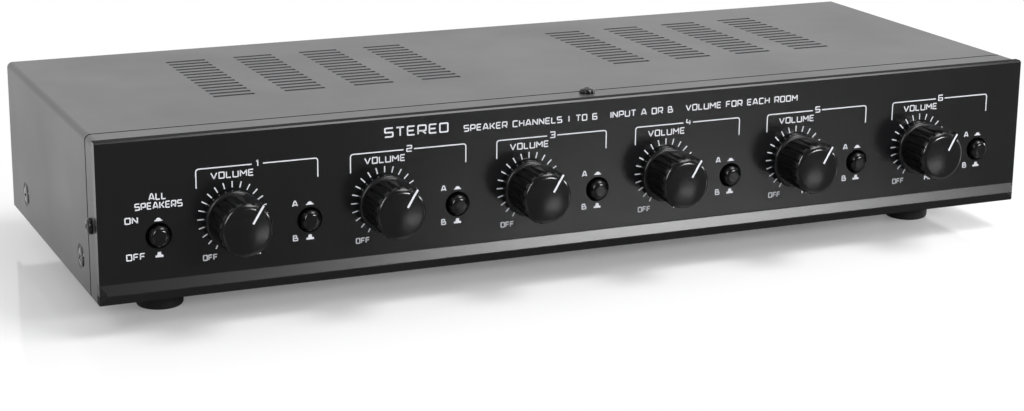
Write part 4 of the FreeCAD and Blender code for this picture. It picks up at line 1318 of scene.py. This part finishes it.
@dataclass(frozen=True)
class DomedScrew:
    """Domed screw with a cross recess; its seat is z = 0 and its head is above."""

    head: float
    high: float
    shank: float
    grip: float
    rim: float = 0.3
    cross_long: float = 0.56
    cross_wide: float = 0.14
    cross_deep: float = 0.75
    cross_taper: Point = (0.45, 0.6)
    sides: int = 32
    smooth_under: float = 40.0
    dome: tuple[Point, ...] = ((0.985, 0.50), (0.93, 0.68), (0.80, 0.84),
                               (0.60, 0.945), (0.34, 1.0))

    def build(self) -> bpy.types.Object:
        """Turn the screw and cut its cross, at the origin.

        Returns:
            The screw.
        """
        radius, level = self.shank / 2, -self.grip
        bpy.ops.mesh.primitive_circle_add(vertices=self.sides, radius=radius * MM,
                                          fill_type="NGON", location=(0, 0, level * MM))
        screw = bpy.context.object
        settle(screw)
        half = self.head / 2
        rings = [(radius, 0.0), (half, 0.0), (half, self.high * self.rim)]
        rings += [(half * out, self.high * up) for out, up in self.dome]
        with editing(screw):
            bpy.ops.mesh.select_all(action="SELECT")
            for wide, up in rings:
                bpy.ops.mesh.extrude_region_move(TRANSFORM_OT_translate={
                    "value": (0, 0, (up - level) * MM)})
                bpy.ops.transform.resize(value=(wide / radius, wide / radius, 1),
                                         center_override=(0, 0, up * MM))
                radius, level = wide, up
        tidy_mesh(screw)
        self._cut(screw, 0, self.cross_taper)
        self._cut(screw, math.pi / 2, self.cross_taper[::-1])
        tidy_mesh(screw, self.smooth_under)
        return screw

    def _cut(self, screw: bpy.types.Object, turn: float, taper: Point) -> None:
        """Cut one bar of the cross recess, narrower at its foot.

        Args:
            screw: the screw to cut.
            turn: how far the bar is turned about the screw's axis.
            taper: how much of the bar's size along X and Y its foot has.
        """
        deep = self.high * self.cross_deep
        size = (self.head * self.cross_long * MM, self.head * self.cross_wide * MM,
                2 * deep * MM)
        bpy.ops.mesh.primitive_cube_add(size=1, location=(0, 0, self.high * MM),
                                        rotation=(0, 0, turn), scale=size)
        bar = bpy.context.object
        settle(bar)
        with editing(bar):
            choose(bar, lambda spot: spot.z < self.high * MM)
            bpy.ops.transform.resize(value=(*taper, 1),
                                     center_override=(0, 0, (self.high - deep) * MM))
        cut = screw.modifiers.new("cross", "BOOLEAN")
        cut.object = bar
        cut.operation = "DIFFERENCE"
        cut.solver = "EXACT"
        apply_all(screw)
        discard(bar)


class Side(Enum):
    """Sides of the case, each with the axis and angle that turn a screw's head to it."""

    LEFT = ("Y", -90)
    RIGHT = ("Y", 90)
    TOP = ("Z", 0)
    REAR = ("X", -90)

    def turn(self) -> Matrix:
        """Return the turn that points a screw's head out of this side."""
        axis, degrees = self.value
        return Matrix.Rotation(math.radians(degrees), 4, axis)


@dataclass(frozen=True)
class Seat:
    """Where one screw sits, and how far its cross is turned in degrees."""

    side: Side
    x: float
    y: float
    z: float
    spin: float


@dataclass(frozen=True)
class ScrewSet:
    """Screws of one kind, each in its seat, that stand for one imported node."""

    node: str
    slot: str
    finish: str
    screw: DomedScrew
    seats: tuple[Seat, ...]

    def build(self, wardrobe: Wardrobe) -> bpy.types.Object:
        """Make one screw, set a copy in every seat and dress them.

        Args:
            wardrobe: the finishes.

        Returns:
            The joined piece.
        """
        pattern = self.screw.build()
        copies = []
        for seat in self.seats:
            place = (Matrix.Translation((seat.x * MM, seat.y * MM, seat.z * MM))
                     @ seat.side.turn() @ Matrix.Rotation(math.radians(seat.spin), 4, "Z"))
            copies.append(copy_at(pattern, self.node, place))
        discard(pattern)
        whole = join_all(f"{self.node}_cross", copies)
        wardrobe.dress_piece(whole, self.finish)
        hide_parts(self.node)
        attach(whole, "case")
        return whole


SCREW_SETS = (
    # The side screws wear the darkened nickel, which is painted shade on their heads.
    ScrewSet("side_screws", "bright_nickel", "shade_painted_nickel",
             DomedScrew(head=8.0, high=1.2, shank=3.0, grip=4.5), (
                 Seat(Side.LEFT, -214.3, -45.2, 25.6, 35),
                 Seat(Side.LEFT, -214.3, 57.8, 25.6, 10),
                 Seat(Side.RIGHT, 214.3, -45.2, 25.6, 70),
                 Seat(Side.RIGHT, 214.3, 57.8, 25.6, 20))),
    ScrewSet("black_screws", "black_zinc", "black_zinc",
             DomedScrew(head=6.6, high=2.2, shank=3.0, grip=4.5), (
                 Seat(Side.LEFT, -215.0, -66.2, 44.1, 40),
                 Seat(Side.RIGHT, 215.0, -66.2, 44.1, 15),
                 Seat(Side.TOP, 0.0, -64.2, 79.5, 20),
                 Seat(Side.REAR, -150.0, 86.8, 74.7, 0),
                 Seat(Side.REAR, 0.0, 86.8, 74.7, 30),
                 Seat(Side.REAR, 150.0, 86.8, 74.7, 65))),
)


# ----------------------------------------------------------------------- studio


@dataclass(frozen=True)
class Softbox:
    """A soft lamp: its direction round the selector, its distance, size and level."""

    name: str
    azimuth: float
    elevation: float
    distance: float
    wide: float
    high: float
    watts: float

    def hang(self, aim: Vector) -> None:
        """Hang the lamp so that it faces a point.

        Args:
            aim: the point it faces.
        """
        turn, lift = math.radians(self.azimuth), math.radians(self.elevation)
        away = Vector((math.sin(turn) * math.cos(lift), -math.cos(turn) * math.cos(lift),
                       math.sin(lift)))
        data = bpy.data.lights.new(self.name, "AREA")
        data.shape = "RECTANGLE"
        data.size, data.size_y = self.wide, self.high
        data.energy = self.watts
        lamp = bpy.data.objects.new(self.name, data)
        bpy.context.scene.collection.objects.link(lamp)
        lamp.location = aim + away * self.distance
        lamp.rotation_mode = "QUATERNION"
        lamp.rotation_quaternion = away.to_track_quat("Z", "Y")


@dataclass(frozen=True)
class Studio:
    """Pale floor, white surroundings and soft lamps.

    The ranges that end in "over" are of metres on the floor, or of the way's Y in
    the surroundings; the footprint and its middle are in millimetres.
    """

    floor_wide: float = 24.0
    floor_tone: Colour = (0.78, 0.78, 0.78)
    floor_specular: float = 0.3
    floor_rough: float = 0.09
    floor_glow: float = 0.155
    dull_tone: Colour = (0.18, 0.18, 0.18)
    gleam_tone: Colour = (0.10, 0.10, 0.10)
    gleam_rough: float = 0.22
    glossy_over: Point = (-0.10, 0.05)
    footprint: Point = (212.0, 84.0)
    footprint_middle: Point = (14.0, 0.0)
    white_over: Point = (0.0, 0.13)
    surround: float = 0.385
    room_over: Point = (-0.45, 0.1)
    room_levels: Point = (0.22, 1.0)
    aim: tuple[float, float, float] = (0.0, -0.05, 0.04)
    lamps: tuple[Softbox, ...] = (
        Softbox("key", 29.3, 18.5, 1.7, 0.46, 0.22, 17.8),
        Softbox("overhead", 54, 62, 1.5, 0.8, 0.6, 14.0),
        Softbox("left", -48, 27, 1.7, 0.12, 1.0, 12.0),
        Softbox("right", 88, 13, 1.4, 0.22, 0.22, 5.0),
    )

    def _beyond_footprint(self, tree: bpy.types.NodeTree,
                          split: bpy.types.Node) -> bpy.types.NodeSocket:
        """Work out how far a point of the floor lies outside the selector's footprint.

        Args:
            tree: the floor's node tree.
            split: the node that gives the point's X and Y.

        Returns:
            The socket that gives the distance.
        """
        squares = []
        for axis, half, middle in zip("XY", self.footprint, self.footprint_middle):
            off = figure(tree, "ABSOLUTE", figure(tree, "SUBTRACT", split.outputs[axis],
                                                  middle * MM))
            past = figure(tree, "MAXIMUM", figure(tree, "SUBTRACT", off, half * MM), 0.0)
            squares.append(figure(tree, "MULTIPLY", past, past))
        return figure(tree, "SQRT", figure(tree, "ADD", *squares))

    def _floor_material(self) -> bpy.types.Material:
        """Make the floor's material: pale to the eye, and dull in front to gloss.

        Rays from the selector's glossy faces see a dull floor with a faint gleam before
        it and the pale floor behind it. Away from the footprint the floor runs out to white.

        Returns:
            The material.
        """
        material = bpy.data.materials.new("studio floor")
        material.use_nodes = True
        tree = material.node_tree
        path = add_node(tree, "LightPath").outputs
        place = add_node(tree, "TexCoord").outputs["Object"]
        split = add_node(tree, "SeparateXYZ", {"Vector": place})
        behind = ramp(tree, split.outputs["Y"], self.glossy_over)
        shown = figure(tree, "MULTIPLY", path["Is Glossy Ray"], behind)
        seen = figure(tree, "MAXIMUM", path["Is Camera Ray"], shown)
        hidden = figure(tree, "SUBTRACT", path["Is Glossy Ray"], shown)
        fade = ramp(tree, self._beyond_footprint(tree, split), self.white_over)

        pale = tree.nodes["Principled BSDF"]
        feed(tree, pale, {
            "Base Color": (*self.floor_tone, 1.0), "Roughness": self.floor_rough,
            "Specular IOR Level": self.floor_specular, "Emission Strength": 1.0,
            "Emission Color": figure(tree, "MULTIPLY", seen, self.floor_glow)})
        matt = add_node(tree, "BsdfDiffuse", {"Color": (*self.dull_tone, 1.0)})
        gleam = add_node(tree, "BsdfGlossy", {"Color": (*self.gleam_tone, 1.0),
                                              "Roughness": self.gleam_rough})
        dull = add_node(tree, "AddShader", {0: matt.outputs["BSDF"], 1: gleam.outputs["BSDF"]})
        white = add_node(tree, "Emission")
        surface = pale.outputs["BSDF"]
        for share, other in ((hidden, dull), (figure(tree, "MULTIPLY", fade, seen), white)):
            surface = add_node(tree, "MixShader", {
                "Fac": share, 1: surface, 2: other.outputs[0]}).outputs["Shader"]
        feed(tree, tree.nodes["Material Output"], {"Surface": surface})
        return material

    def _floor(self) -> None:
        """Lay the floor that the selector stands on."""
        bpy.ops.mesh.primitive_grid_add(x_subdivisions=8, y_subdivisions=8,
                                        size=self.floor_wide)
        floor = bpy.context.object
        floor.name = floor.data.name = "studio_floor"
        floor.data.materials.append(self._floor_material())

    def _surroundings(self) -> None:
        """Make the world white to the eye, dimmer in front to gloss, and even to the rest."""
        world = bpy.data.worlds.new("surroundings")
        bpy.context.scene.world = world
        world.use_nodes = True
        tree = world.node_tree
        path = add_node(tree, "LightPath").outputs
        way = add_node(tree, "TexCoord").outputs["Generated"]
        split = add_node(tree, "SeparateXYZ", {"Vector": way})
        room = ramp(tree, split.outputs["Y"], self.room_over, self.room_levels)
        eye = figure(tree, "MAXIMUM", path["Is Camera Ray"], path["Is Transmission Ray"])
        gloss = figure(tree, "MULTIPLY", path["Is Glossy Ray"], room)
        diffuse = figure(tree, "MULTIPLY", path["Is Diffuse Ray"], self.surround)
        level = figure(tree, "MAXIMUM", figure(tree, "MAXIMUM", eye, gloss), diffuse)
        feed(tree, tree.nodes["Background"], {"Color": (1.0, 1.0, 1.0, 1.0), "Strength": level})

    def set_up(self) -> None:
        """Lay the floor, set the surroundings and hang the lamps."""
        self._floor()
        self._surroundings()
        for lamp in self.lamps:
            lamp.hang(Vector(self.aim))
        bpy.context.scene.view_settings.view_transform = "Standard"


@dataclass(frozen=True)
class Camera:
    """The camera before the left end of the face, a little above the case."""

    place: tuple[float, float, float] = (-0.40816, -0.91002, 0.28905)
    look: tuple[float, float, float] = (0.38967, 0.88155, -0.26649)
    roll: float = 0.5602
    lens: float = 79.449
    sensor_wide: float = 36.0
    clip: Point = (0.01, 60.0)

    def set_up(self) -> None:
        """Put the camera in place and make it the scene's own."""
        data = bpy.data.cameras.new("camera")
        data.sensor_fit = "HORIZONTAL"
        data.sensor_width = self.sensor_wide
        data.lens = self.lens
        data.clip_start, data.clip_end = self.clip
        data.dof.use_dof = False
        camera = bpy.data.objects.new("camera", data)
        bpy.context.scene.collection.objects.link(camera)
        level = Vector(self.look).to_track_quat("-Z", "Y").to_matrix().to_4x4()
        camera.matrix_world = (Matrix.Translation(self.place) @ level
                               @ Matrix.Rotation(math.radians(self.roll), 4, "Z"))
        bpy.context.scene.camera = camera


# ------------------------------------------------------------------------- build


def put_on(piece: bpy.types.Object, wardrobe: Wardrobe, body: str) -> None:
    """Ink a printed piece and let it ride on its body.

    Args:
        piece: the printed piece.
        wardrobe: the finishes.
        body: the body it rides on.
    """
    wardrobe.dress_piece(piece, "legend_ink")
    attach(piece, body)
    LOG.info("%s rides on %s", piece.name, body)


def main() -> None:
    """Load the frame, dress it, print its legends and set up the studio."""
    logging.basicConfig(level=logging.INFO, format="%(message)s")
    clear_start()
    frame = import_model()
    nodes = frame["nodes"]
    layout = Layout.read(frame)
    wardrobe = Wardrobe()
    wardrobe.sew()
    for node in nodes.values():
        wardrobe.dress_node(node)
    LOG.info("%d nodes dressed", len(nodes))

    for channel in layout.knobs:
        put_on(ChannelLegend().build(channel, layout), wardrobe, "case")
        knob = SmoothKnob().build(channel, nodes[f"volume_knob_{channel}"], layout, wardrobe)
        LOG.info("%s stands for its packed knob", knob.name)
        put_on(PointerLine().build(channel, knob, layout), wardrobe, f"volume_{channel}")
    for name in ("all", *layout.knobs):
        cap = SmoothButton(name).build(nodes[f"button_cap_{name}"], wardrobe)
        LOG.info("%s stands for its packed cap", cap.name)
    for legend in (MasterLegend(), TitleLine(), RearLegend()):
        put_on(legend.build(layout), wardrobe, "case")
    for screws in SCREW_SETS:
        LOG.info("%s stands for %s", screws.build(wardrobe).name, screws.node)

    Studio().set_up()
    Camera().set_up()


if __name__ == "__main__":
    main()
